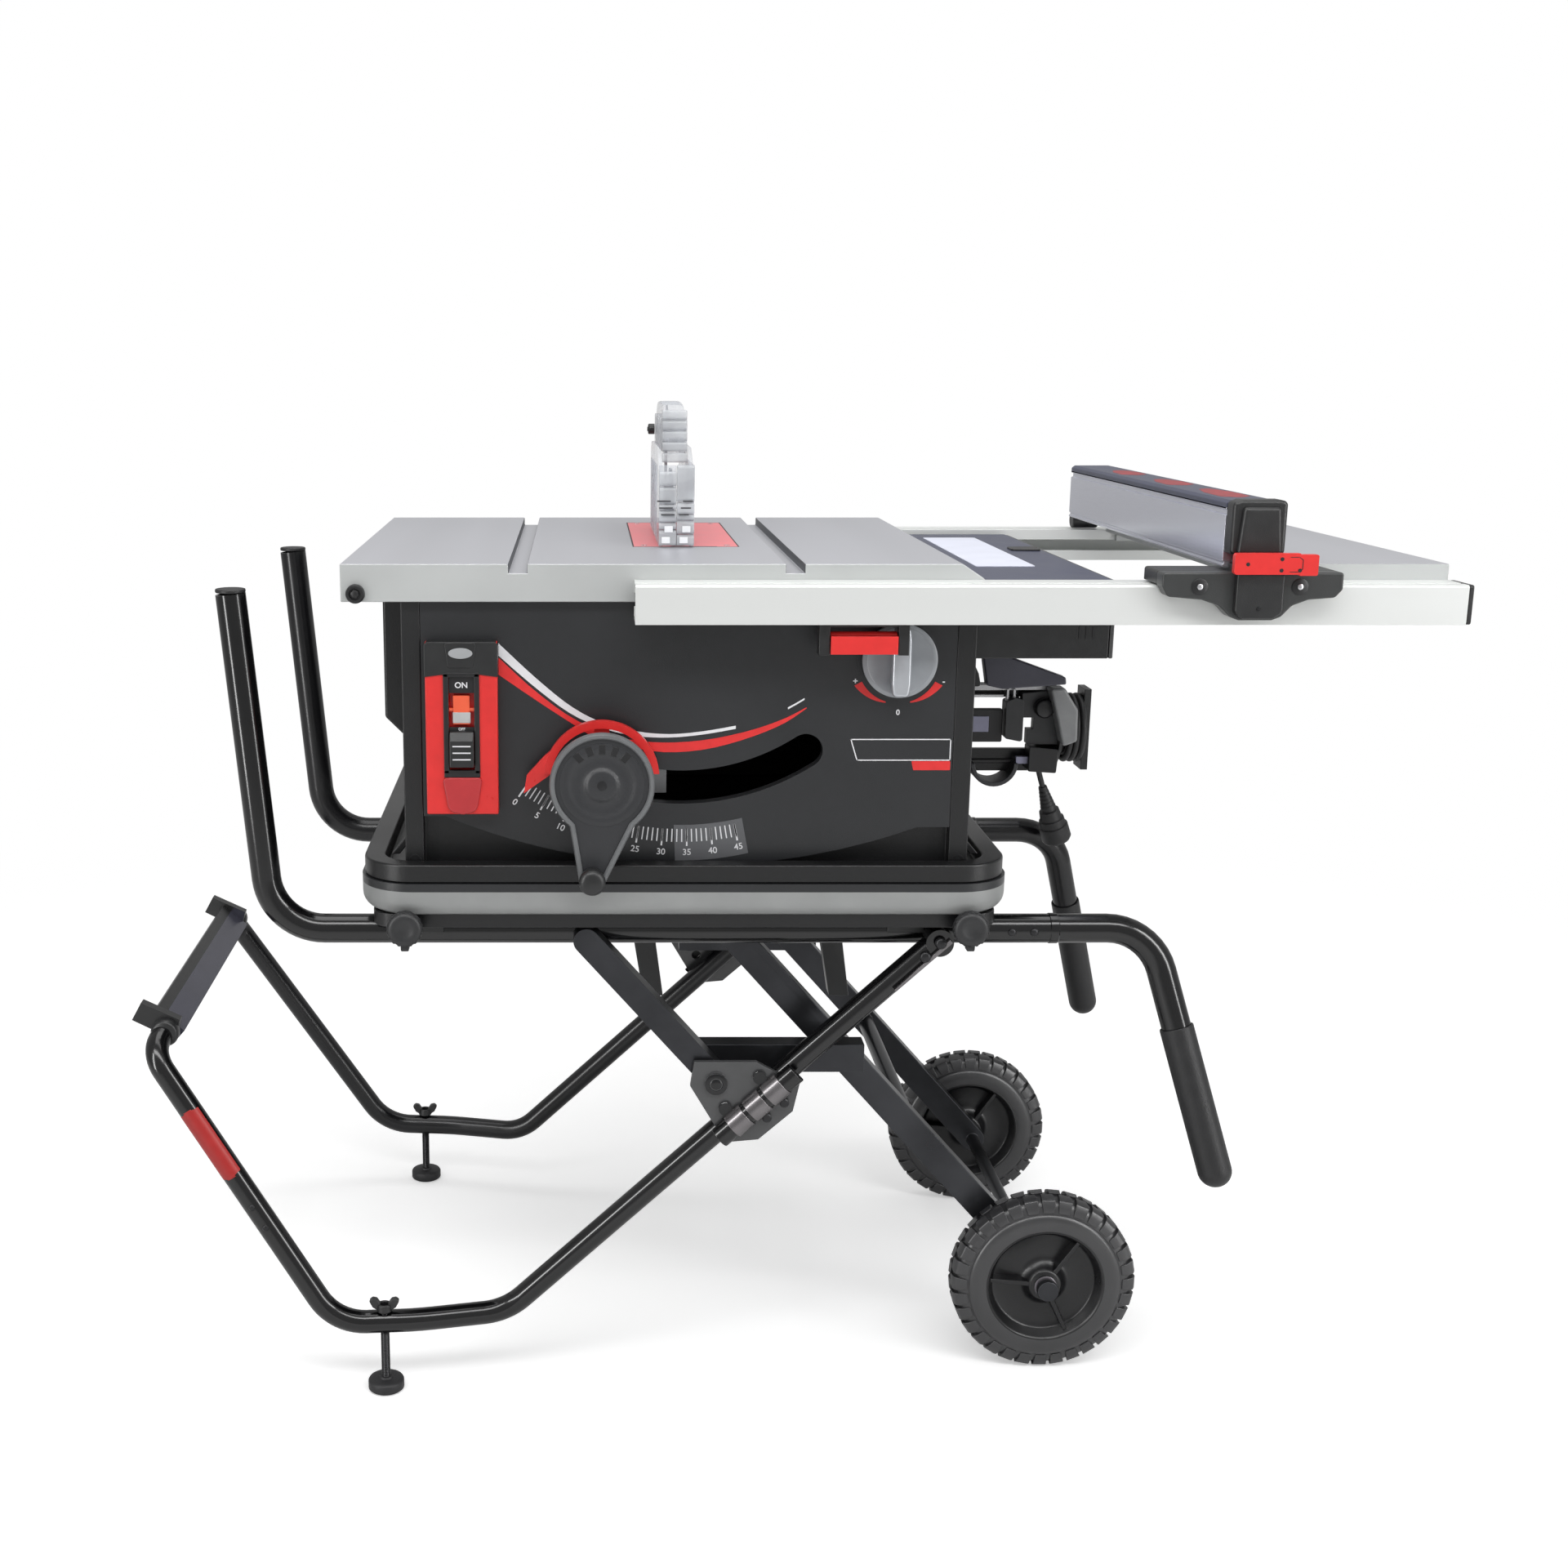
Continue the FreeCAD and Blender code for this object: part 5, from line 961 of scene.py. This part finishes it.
# The base is a black tray moulding with a light grey band at its foot; the cabinet stands on it and the
# stand's side tubes are clamped under it by black saddles with ribbed round knobs.
tray_black = finish("tray plastic", (0.007, 0.0072, 0.0078), 0.30, mottle=0.10, size=10, grain=0.4, grain_size=1300)
copy_of("base_tray", "base_sloped_tray", tray_black, "root", bevel=2.2, segments=3)
base_grey = finish("grey base plastic", (0.30, 0.308, 0.305), 0.38, mottle=0.08, size=14, grain=0.3, grain_size=1300)
pan = copy_of("base_pan", "base_band", base_grey, "root", bevel=0)
bm = bmesh.new()
bm.from_mesh(pan.data)
bmesh.ops.remove_doubles(bm, verts=bm.verts, dist=0.00002)
split = at(0, 0, 579.4)
bmesh.ops.bisect_plane(bm, geom=bm.verts[:] + bm.edges[:] + bm.faces[:], plane_co=split, plane_no=(0, 0, 1))
bmesh.ops.bisect_plane(bm, geom=bm.verts[:] + bm.edges[:] + bm.faces[:], plane_co=at(0, 0, 551), plane_no=(0, 0, 1),
        clear_inner=True)
bmesh.ops.holes_fill(bm, edges=[edge for edge in bm.edges if edge.is_boundary], sides=0)
bmesh.ops.recalc_face_normals(bm, faces=bm.faces)
foot = [edge for edge in bm.edges if all(v.co.z < 0.5512 for v in edge.verts) and edge.calc_face_angle(0) > 0.8]
bmesh.ops.bevel(bm, geom=foot, offset=0.017, segments=7, affect="EDGES", profile=0.5)
for face in bm.faces:
    face.material_index = 1 if face.calc_center_median().z > split.z else 0
bm.to_mesh(pan.data)
bm.free()
pan.data.materials.append(panel_charcoal)
pan.data.shade_smooth()
pan.data.set_sharp_from_angle(angle=math.radians(35))
plate("base_recess", tray_black, "root", rounded([(-224, -8), (442, -8), (442, 533), (-224, 533)], 26), "Z", 536.8,
        552, bevel=0.8)
bm = bmesh.new()
for x, way in ((-205, 1), (425, -1)):
    for y in (30, 460):
        prism(bm, [(x, 607.6), (x + way * 9, 607.6), (x + way * 34, 640), (x + way * 27, 640)], "Y", y, y + 12)
settle(bm, "base_braces", charcoal, "root", bevel=1)
copy_of("side_box", "side_compartment", charcoal, "root", bevel=3, segments=4, angle=40)
plate("side_compartment_door", panel_charcoal, "root", rounded([(135, 735), (385, 735), (385, 868), (135, 868)], 8),
        "X", -219.2, -217, bevel=1)
plate("side_compartment_catch", black_plastic, "root", rounded([(238, 842), (282, 842), (282, 860), (238, 860)], 4),
        "X", -222.0, -219, bevel=1)


# The stand is bent round steel tube in gloss black. Each side tube rises at the left, runs under the base and bends
# down at the right to a handle with a pushed-on rubber grip; a swaged joint and two rivets sit before that bend.
def painted(name, colour, roughness, coat=0.0, specular=0.5):
    """Powder paint: a smooth glossy coat with a faint orange peel."""
    return finish(name, colour, roughness, mottle=0.12, size=30, grain=0.05, grain_size=260, coat=coat,
            specular=specular)


tube_black = painted("gloss black paint", (0.003, 0.003, 0.0034), 0.16, specular=0.62)
tube_dull = painted("satin black paint", (0.006, 0.006, 0.007), 0.24)
leg_black = finish("leg paint", (0.040, 0.041, 0.045), 0.30, metallic=0.75, mottle=0.25, size=14, grain=0.05,
        grain_size=260)
grip_black = finish("grip rubber", (0.010, 0.010, 0.011), 0.44, mottle=0.2, size=60, grain=0.7, grain_size=900)
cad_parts["side_tube_near"].data.materials[0] = tube_black
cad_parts["side_tube_far"].data.materials[0] = tube_dull
copy_of("handle_grips", "hand_grips", grip_black, "root", bevel=1.5, segments=3)
for y, label in ((45, "near"), (480, "far")):
    lathed("tube_joint_" + label, tube_black, "root", [(0, 15.9), (0.8, 16.7), (9, 16.7), (10, 15.9)], (508, y, 520),
            (1, 0, 0), 40)
for y, label in ((45, "near"), (480, "far")):
    bm = bmesh.new()
    turned(bm, [(-1.5, 0), (-1.5, 4.6), (0.4, 4.6), (1.6, 3.4), (2.1, 1.6), (2.2, 0)], (466, y - 15.8, 520),
            (0, -1, 0), 20)
    repeated(bm, "tube_rivets_" + label, dark_steel, "root", 2, move=(24, 0, 0), angle=60)
copy_of("tube_fittings", "tube_saddles", satin_black, "root", bevel=1.2)
knob_black = finish("clamp knob plastic", (0.020, 0.0205, 0.022), 0.42, mottle=0.12, size=50, grain=0.35,
        grain_size=1500)
for x, side in ((-187, "left"), (409, "right")):
    for y, way, row in ((-20.6, -1, "near"), (545.6, 1, "far")):
        bm = bmesh.new()
        turned(bm, [(0, 0), (0, 17), (1.5, 18.6), (7.5, 19), (11.5, 17.8), (13.2, 14.6), (13.2, 9), (12.4, 7.8),
                (12.4, 0)], (x, y, 541.4), (0, way, 0), 48)
        prism(bm, rounded([(x - 4.2, 517.5), (x + 4.2, 517.5), (x + 4.6, 526), (x - 4.6, 526)], 1.5), "Y",
                min(y, y + way * 9), max(y, y + way * 9))
        settle(bm, "clamp_knob_%s_%s" % (side, row), knob_black, "root", angle=50,
                nodes=("clamp_knobs",) if (side, row) == ("left", "near") else ())
        bm = bmesh.new()
        block(bm, x - 1.6, x + 1.6, min(y + way * 2, y + way * 11), max(y + way * 2, y + way * 11), 559.2, 560.4)
        repeated(bm, "clamp_knob_ribs_%s_%s" % (side, row), knob_black, "root", 18, turn=(0, 20, 0),
                pivot=(x, 0, 541.4), bevel=0.5)


# The wheel legs are rectangular steel tubes joined by a brace and the axle, and two pairs of struts fold with them.
# Grey bracket plates with steel sleeves clamp the leg tubes, and the two wheels turn on the axle.
copy_of("wheel_legs", "wheel_leg_frame", leg_black, "wheel_frame", bevel=4.0, segments=5)
copy_of("fold_struts", "folding_struts", leg_black, "struts", bevel=7.0, segments=6)
copy_of("level_links", "linking_bars", leg_black, "links", bevel=1.4, segments=3)
bracket_grey = painted("bracket paint", (0.060, 0.061, 0.063), 0.30, coat=0.25)
copy_of("leg_brackets", "side_brackets", bracket_grey, "brackets", bevel=0.8, segments=2)
knee_x, knee_z = 144.8, 360.5
# Charcoal discs close the holes in the bracket plates so that they read black: painted shade in the holes.
bm = bmesh.new()
for y0, y1 in ((-11.4, -10.6), (535.6, 536.4)):
    for u, v in ((47.2, 7.5), (10.7, -28.5)):
        prism(bm, [(knee_x + u + 7.4 * math.cos(math.tau * k / 24),
                knee_z + v + 7.4 * math.sin(math.tau * k / 24)) for k in range(24)], "Y", y0, y1)
settle(bm, "bracket_hole_shade", charcoal, "brackets")
bm = bmesh.new()
for y, way in ((-10.8, -1), (535.8, 1)):
    turned(bm, [(-1, 0), (-1, 12.6), (0.2, 12.2), (0.8, 10.8), (0.8, 7.4), (-0.2, 6.6), (0.6, 5.6), (1.2, 3),
            (1.3, 0)], (knee_x, y, knee_z), (0, way, 0), 36)
settle(bm, "bracket_pins", painted("pin paint", (0.006, 0.006, 0.007), 0.2), "brackets", angle=40)


leg_slope = math.radians(43)
slope_aim, slope_up = Vector((math.cos(leg_slope), math.sin(leg_slope))), Vector((-math.sin(leg_slope),
        math.cos(leg_slope)))


def half_round(bm, y, way, start, end, radius):
    """A half-round rib across the plate, on the line of the leg tube that the plate is clamped to."""
    loops = []
    for along in (start, end):
        loop = []
        for k in range(21):
            turn = math.pi * k / 20
            x, z = Vector((190, 337)) + slope_aim * along + slope_up * radius * math.cos(turn)
            loop.append(bm.verts.new(at(x, y + way * radius * math.sin(turn), z)))
        loops.append(loop)
    bridge(bm, *loops)


sleeve_steel = finish("sleeve steel", (0.20, 0.19, 0.195), 0.26, metallic=0.85, mottle=0.14, size=40)
for y, way, label in ((-9.4, -1, "near"), (534.4, 1, "far")):
    bm = bmesh.new()
    half_round(bm, y, way, -56, 56, 12.6)
    settle(bm, "saddle_tube_" + label, tube_black, "brackets", bevel=1.2, segments=3)
    bm = bmesh.new()
    half_round(bm, y, way, -37, -15, 14.6)
    repeated(bm, "saddle_bands_" + label, sleeve_steel, "brackets", 3, move=(26 * slope_aim.x, 0, 26 * slope_aim.y),
            bevel=1.0, segments=3)
    bm = bmesh.new()
    for x, z in ((200.5, 322), (219, 339.5)):
        turned(bm, [(-1, 0), (-1, 5.2), (1.2, 5.2), (2.2, 4), (2.2, 0)], (x, -11 if way < 0 else 536, z), (0, way, 0),
                20)
    settle(bm, "saddle_bolts_" + label, dark_steel, "brackets")
for y, way, label in ((-3.5, -1, "near"), (528.5, 1, "far")):
    bm = bmesh.new()
    strip = [tuple(Vector((382.6, 516.6)) + slope_aim * a + slope_up * b) for a,
            b in ((11, -7.5), (11, -2.5), (-70, -4.5), (-70, -7.5))]
    prism(bm, strip, "Y", min(y - way * 4, y + way * 0.9), max(y - way * 4, y + way * 0.9))
    settle(bm, "leg_end_strip_" + label, sleeve_steel, "feet", bevel=0.7)
    bm = bmesh.new()
    turned(bm, [(-1, 0), (-1, 6.4), (1.2, 6.4), (3.2, 5), (3.8, 2.6), (3.9, 0)], (382.6, y, 518), (0, way, 0), 24)
    repeated(bm, "leg_end_bolts_" + label, dark_steel, "feet", 2, move=(-22 * slope_aim.x, 0, -22 * slope_aim.y),
            angle=50)
rubber = finish("tyre rubber", (0.024, 0.024, 0.026), 0.34, mottle=0.16, size=25, grain=0.15, grain_size=900,
        specular=0.85)
rim_black = finish("rim plastic", (0.007, 0.007, 0.008), 0.3, mottle=0.15, grain=0.2)
hub_grey = finish("hub cap", (0.14, 0.13, 0.145), 0.26, metallic=0.4, mottle=0.06)
axle_x, axle_z = 523.4, 104.0


def radial_fin(bm, angle, profile):
    """A fin that stands out from the axle: each profile point is (radius, y, half its width)."""
    out, across = Vector((math.cos(angle), 0, math.sin(angle))), Vector((-math.sin(angle), 0, math.cos(angle)))
    bridge(bm, *([bm.verts.new(at(*(Vector((axle_x, y, axle_z)) + out * r + across * w * way))) for r, y,
            w in profile] for way in (-1, 1)))


def wheel(name, low, high, body, node):
    """A foam-filled tyre with a smooth side wall and tread blocks, on a dished rim with three thin spokes."""
    middle, hub = (low + high) / 2, (axle_x, 0, axle_z)
    bm = bmesh.new()
    half = [(0.6, 66.5), (0, 69), (0, 77), (0.9, 82), (2.4, 85.2), (4.2, 86.2), (4.6, 88), (6.4, 94), (9.5, 98.2),
            (13, 100.2)]
    turned(bm, [(low + y, r) for y, r in half] + [(middle, 101)] + [(high - y, r) for y,
            r in half[::-1]] + [(high - 4, 65.4), (low + 4, 65.4)], hub, (0, 1, 0), 96, closed=True)
    settle(bm, name + "_tyre", rubber, body, angle=40, nodes=(node,))
    for side, start in ((-1, 0.0), (1, 0.5)):
        edge = low if side < 0 else high
        bm = bmesh.new()
        radial_fin(bm, math.tau * start / 32, [(87.2, edge - side * 3.6, 6.0), (95.5, edge - side * 4.4, 7.2),
                (101.2, edge - side * 7.6, 7.9), (103.6, edge - side * 12, 8.1), (103.8, middle + side * 1.4, 6.6),
                (100.4, middle + side * 1.4, 6.6), (90, edge - side * 9, 6.0)])
        repeated(bm, name + ("_tread_near" if side < 0 else "_tread_far"), rubber, body, 32, turn=(0, 360 / 32, 0),
                pivot=hub, bevel=0.9, angle=30)
    bm = bmesh.new()
    half = [(0.4, 66.8), (-0.0, 65), (1.6, 63), (13, 59), (15, 56), (15.5, 30), (13, 24), (6, 20), (3, 18.2),
            (1.4, 16.4), (1.4, 8.7)]
    turned(bm, [(low + y, r) for y, r in half] + [(high - y, r) for y, r in half[::-1]], hub, (0, 1, 0), 96,
            closed=True)
    settle(bm, name + "_rim", rim_black, body, angle=50)
    for y0, y1, label in ((low + 3.0, low + 16, "near"), (high - 3.0, high - 16, "far")):
        bm = bmesh.new()
        radial_fin(bm, 0.96, [(15, y0, 2.6), (62.5, y0 + (y1 - y0) * 0.1, 1.9), (62.5, y1, 3.2), (15, y1, 4.0)])
        repeated(bm, name + "_spokes_" + label, rim_black, body, 3, turn=(0, 120, 0), pivot=hub, bevel=0.8,
                segments=3)


wheel("near_wheel", 22, 67, "wheel_a", "wheel_near")
wheel("far_wheel", 458, 503, "wheel_b", "wheel_far")
for y, way, label in ((22.5, -1, "near"), (502.5, 1, "far")):
    lathed("axle_cap_ring_" + label, hub_grey, "wheel_frame",
            [(0, 0), (0, 12.6), (0.8, 12.6), (1.6, 11.6), (1.8, 9.4), (1.2, 8.4), (1.2, 0)], (axle_x, y, axle_z),
            (0, way, 0), 40, angle=50)
    lathed("axle_dome_" + label, tube_black, "wheel_frame",
            [(1, 0), (1, 8.0), (2.4, 7.4), (3.6, 5.6), (4.3, 3), (4.5, 0)], (axle_x, y, axle_z), (0, way, 0), 32,
            angle=60)


# The feet are a bent tube on each side, joined by a flat bar with block ends at the left, and each stands on a
# round pad whose stem is turned by a wing nut. The near leg carries a plain red band and two rivets.
for node in ("foot_leg_near", "foot_leg_far"):
    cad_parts[node].data.materials[0] = tube_black if node.endswith("near") else tube_dull
bar_purple = finish("crossbar paint", (0.075, 0.075, 0.10), 0.26, metallic=0.3, mottle=0.08, size=18, grain=0.2)
bar = copy_of("foot_crossbar", "foot_cross_bar", bar_purple, "feet", bevel=2.6, segments=4)
bar_middle, bar_across = at(-469, 262, 408), Vector((0.77, 0, -0.63))
bm = bmesh.new()
bm.from_mesh(bar.data)
bmesh.ops.bisect_plane(bm, geom=bm.verts[:] + bm.edges[:] + bm.faces[:], dist=1e-6, plane_co=bar_middle,
        plane_no=bar_across)
bm.to_mesh(bar.data)
bm.free()
bar.data.materials.append(satin_black)
for face in bar.data.polygons:
    painted_black = (face.center - bar_middle).dot(bar_across) < 0
    if painted_black or not at(0, 59.4, 0).y < face.center.y < at(0, 465.6, 0).y:
        face.material_index = 1
bm = bmesh.new()
for y, way in ((39, 1), (486, -1)):
    turned(bm, [(0, 0), (0, 12.6), (1.6, 14.6), (5, 15.6), (13, 15.6), (17, 14.2), (19.4, 10), (20, 0)],
            (-462, y, 399), (0, way, 0), 40)
settle(bm, "crossbar_sockets", satin_black, "feet", angle=50)


leg_foot, leg_top = Vector((-275, -15, 80)), Vector((-470, 15, 386))
leg_aim = (leg_top - leg_foot).normalized()
leg_side = Vector((0, 1, 0)).cross(leg_aim).normalized()
leg_front = leg_aim.cross(leg_side).normalized()
if leg_front.y > 0:
    leg_front = -leg_front
rows = []
bm = bmesh.new()
for step in range(33):
    share = step / 32
    along = leg_foot.lerp(leg_top, 0.555 + 0.245 * share)
    reach = math.radians(62) * min(1, math.sqrt(max(0.0, 1 - (2 * share - 1) ** 16)) + 0.35)
    row = []
    for k in range(17):
        turn = reach * (k / 8 - 1)
        out = leg_front * math.cos(turn) + leg_side * math.sin(turn)
        row.append([bm.verts.new(at(*(along + out * r))) for r in (12.4, 12.95)])
    rows.append(row)
for first, second in zip(rows, rows[1:]):
    for k in range(16):
        for level in (0, 1):
            bm.faces.new((first[k][level], first[k + 1][level], second[k + 1][level], second[k][level]))
    for k in (0, 16):
        bm.faces.new((first[k][0], first[k][1], second[k][1], second[k][0]))
for row in (rows[0], rows[-1]):
    for k in range(16):
        bm.faces.new((row[k][0], row[k + 1][0], row[k + 1][1], row[k][1]))
settle(bm, "leg_label_place", finish("red leg label", (0.42, 0.014, 0.012), 0.42, mottle=0.06, size=90), "feet")
bm = bmesh.new()
turned(bm, [(11, 0), (11, 3.6), (13.0, 3.6), (13.8, 2.4), (14.0, 0)], leg_foot.lerp(leg_top, 0.45), (0, -1, 0), 18)
repeated(bm, "leg_rivets", dark_steel, "feet", 2, move=tuple((leg_foot - leg_top) * 0.075), angle=60)
foot_x, foot_ys = -220, (-13.7, 538.7)
bm = bmesh.new()
for y in foot_ys:
    turned(bm, [(0.2, 0), (0.2, 18.6), (1.4, 20), (9.6, 20), (11.4, 19), (12.4, 15), (13, 8), (15, 7), (15, 0)],
            (foot_x, y, 0), (0, 0, 1), 56)
settle(bm, "foot_pads", finish("pad rubber", (0.02, 0.02, 0.022), 0.55, mottle=0.15, grain=0.5), "feet", angle=50,
        nodes=("levelling_feet",))
thread = [(13, 0)]
for k in range(40):
    thread += [(13.5 + k * 2.1, 4.2), (14.5 + k * 2.1, 5.0)]
bm = bmesh.new()
for y in foot_ys:
    turned(bm, thread + [(98, 5.0), (98, 0)], (foot_x, y, 0), (0, 0, 1), 24)
settle(bm, "foot_stems", dark_steel, "feet", angle=25)
bm = bmesh.new()
wing_outline = ((5, 94), (13, 99), (17, 107), (13, 110), (8, 109), (4, 103))
for y in foot_ys:
    turned(bm, [(94, 5.0), (94, 9), (103, 8), (103, 5.0)], (foot_x, y, 0), (0, 0, 1), 28, closed=True)
    for way in (-1, 1):
        prism(bm, rounded([(foot_x + way * x, z) for x, z in wing_outline], 2.5), "Y", y - 3.6, y + 3.6)
settle(bm, "wing_nuts", satin_black, "feet", bevel=1.6, segments=3)


# Black steel hooks and plates on the right side hold the mitre gauge, the push stick and the wrap for the cord.
copy_of("accessory_bracket", "side_holder", tube_dull, "root", bevel=0.8)
slate = finish("slate fitting plastic", (0.060, 0.060, 0.082), 0.36, mottle=0.12, size=30, grain=0.3)
fitting_black = finish("fitting black", (0.009, 0.009, 0.010), 0.34, mottle=0.14, size=50, grain=0.4, grain_size=1400)
gauge_silver = finish("gauge bar metal", (0.55, 0.55, 0.56), 0.25, metallic=0.8, mottle=0.06, size=40)
gauge_grey = finish("gauge head grey", (0.27, 0.275, 0.28), 0.38, mottle=0.08, grain=0.3)
plate("push_stick_body", slate, "root", rounded([(446, 806), (452, 811), (540, 779), (541, 771), (470, 766),
        (452, 770)], [3, 4, 3, 2, 2, 3]), "Y", 150, 166, bevel=2.6, segments=4, nodes=("push_stick",))
plate("push_stick_hook", fitting_black, "root", rounded([(417, 786), (436, 797), (443, 783), (446, 768.5),
        (417, 768.5)], 3), "Y", 152, 186, bevel=1.2)
bm = bmesh.new()
block(bm, 421, 532, 180, 190, 759.5, 766)
block(bm, 421, 478, 178, 184, 751.8, 755)
settle(bm, "gauge_bar", gauge_silver, "root", bevel=0.5, nodes=("mitre_gauge",))
bm = bmesh.new()
block(bm, 480, 482.8, 174, 180, 742, 762)
repeated(bm, "gauge_pins", gauge_silver, "root", 2, move=(7.5, 0, 0), bevel=0.5)
bm = bmesh.new()
prism(bm, rounded([(479, 706), (499, 702), (499, 750), (490, 753), (479, 748)], 3), "Y", 168, 190)
prism(bm, rounded([(498, 757), (530, 760), (546, 752), (546, 698), (505, 698), (505, 716), (512, 716), (512, 729),
        (498, 729)], [1, 3, 3, 2, 2, 0.5, 0.5, 0.5, 0.5]), "Y", 174, 186)
settle(bm, "gauge_head", finish("gauge head body", (0.028, 0.029, 0.031), 0.36, mottle=0.1, grain=0.3), "root",
        bevel=1.4, segments=3)
plate("gauge_face", gauge_grey, "root", rounded([(524, 766), (540, 767), (556, 742), (557, 706), (541, 700),
        (533, 732)], [3, 4, 8, 4, 3, 10]), "Y", 150, 174, bevel=3, segments=4)
lathed("gauge_lock_knob", fitting_black, "root", [(0, 0), (0, 10), (2, 11), (9, 11), (11, 9.5), (12, 6), (12, 0)],
        (522, 174, 741), (0, -1, 0), 32, bevel=0.5)
bm = bmesh.new()
prism(bm, rounded([(507, 668), (539, 666), (541, 694), (507, 697)], 2), "Y", 166, 190)
prism(bm, rounded([(421, 700), (478, 700), (478, 738), (421, 738)], 2), "Y", 178, 188)
block(bm, 421, 500, 186, 196, 673.6, 678)
settle(bm, "accessory_blocks", fitting_black, "root", bevel=1.2, segments=3)
bm = bmesh.new()
block(bm, 423, 462, 176.8, 178.4, 712, 730)
block(bm, 494, 508, 172, 178, 676, 684)
settle(bm, "accessory_labels", finish("pale lilac plastic", (0.32, 0.32, 0.44), 0.4, mottle=0.1, size=60), "root",
        bevel=0.4)
bm = bmesh.new()
cup = [(469 + r * math.cos(math.radians(a)), 677 + r * math.sin(math.radians(a))) for r,
        span in ((27, range(180, 361, 10)), (22, range(360, 179, -10))) for a in span]
prism(bm, cup, "Y", 168, 206)
settle(bm, "accessory_cup", finish("cup plastic", (0.035, 0.036, 0.040), 0.34, mottle=0.1, grain=0.3), "root",
        bevel=0.9)
copy_of("cord_wrap", "cord_reel", satin_black, "root", bevel=1.2, segments=3)
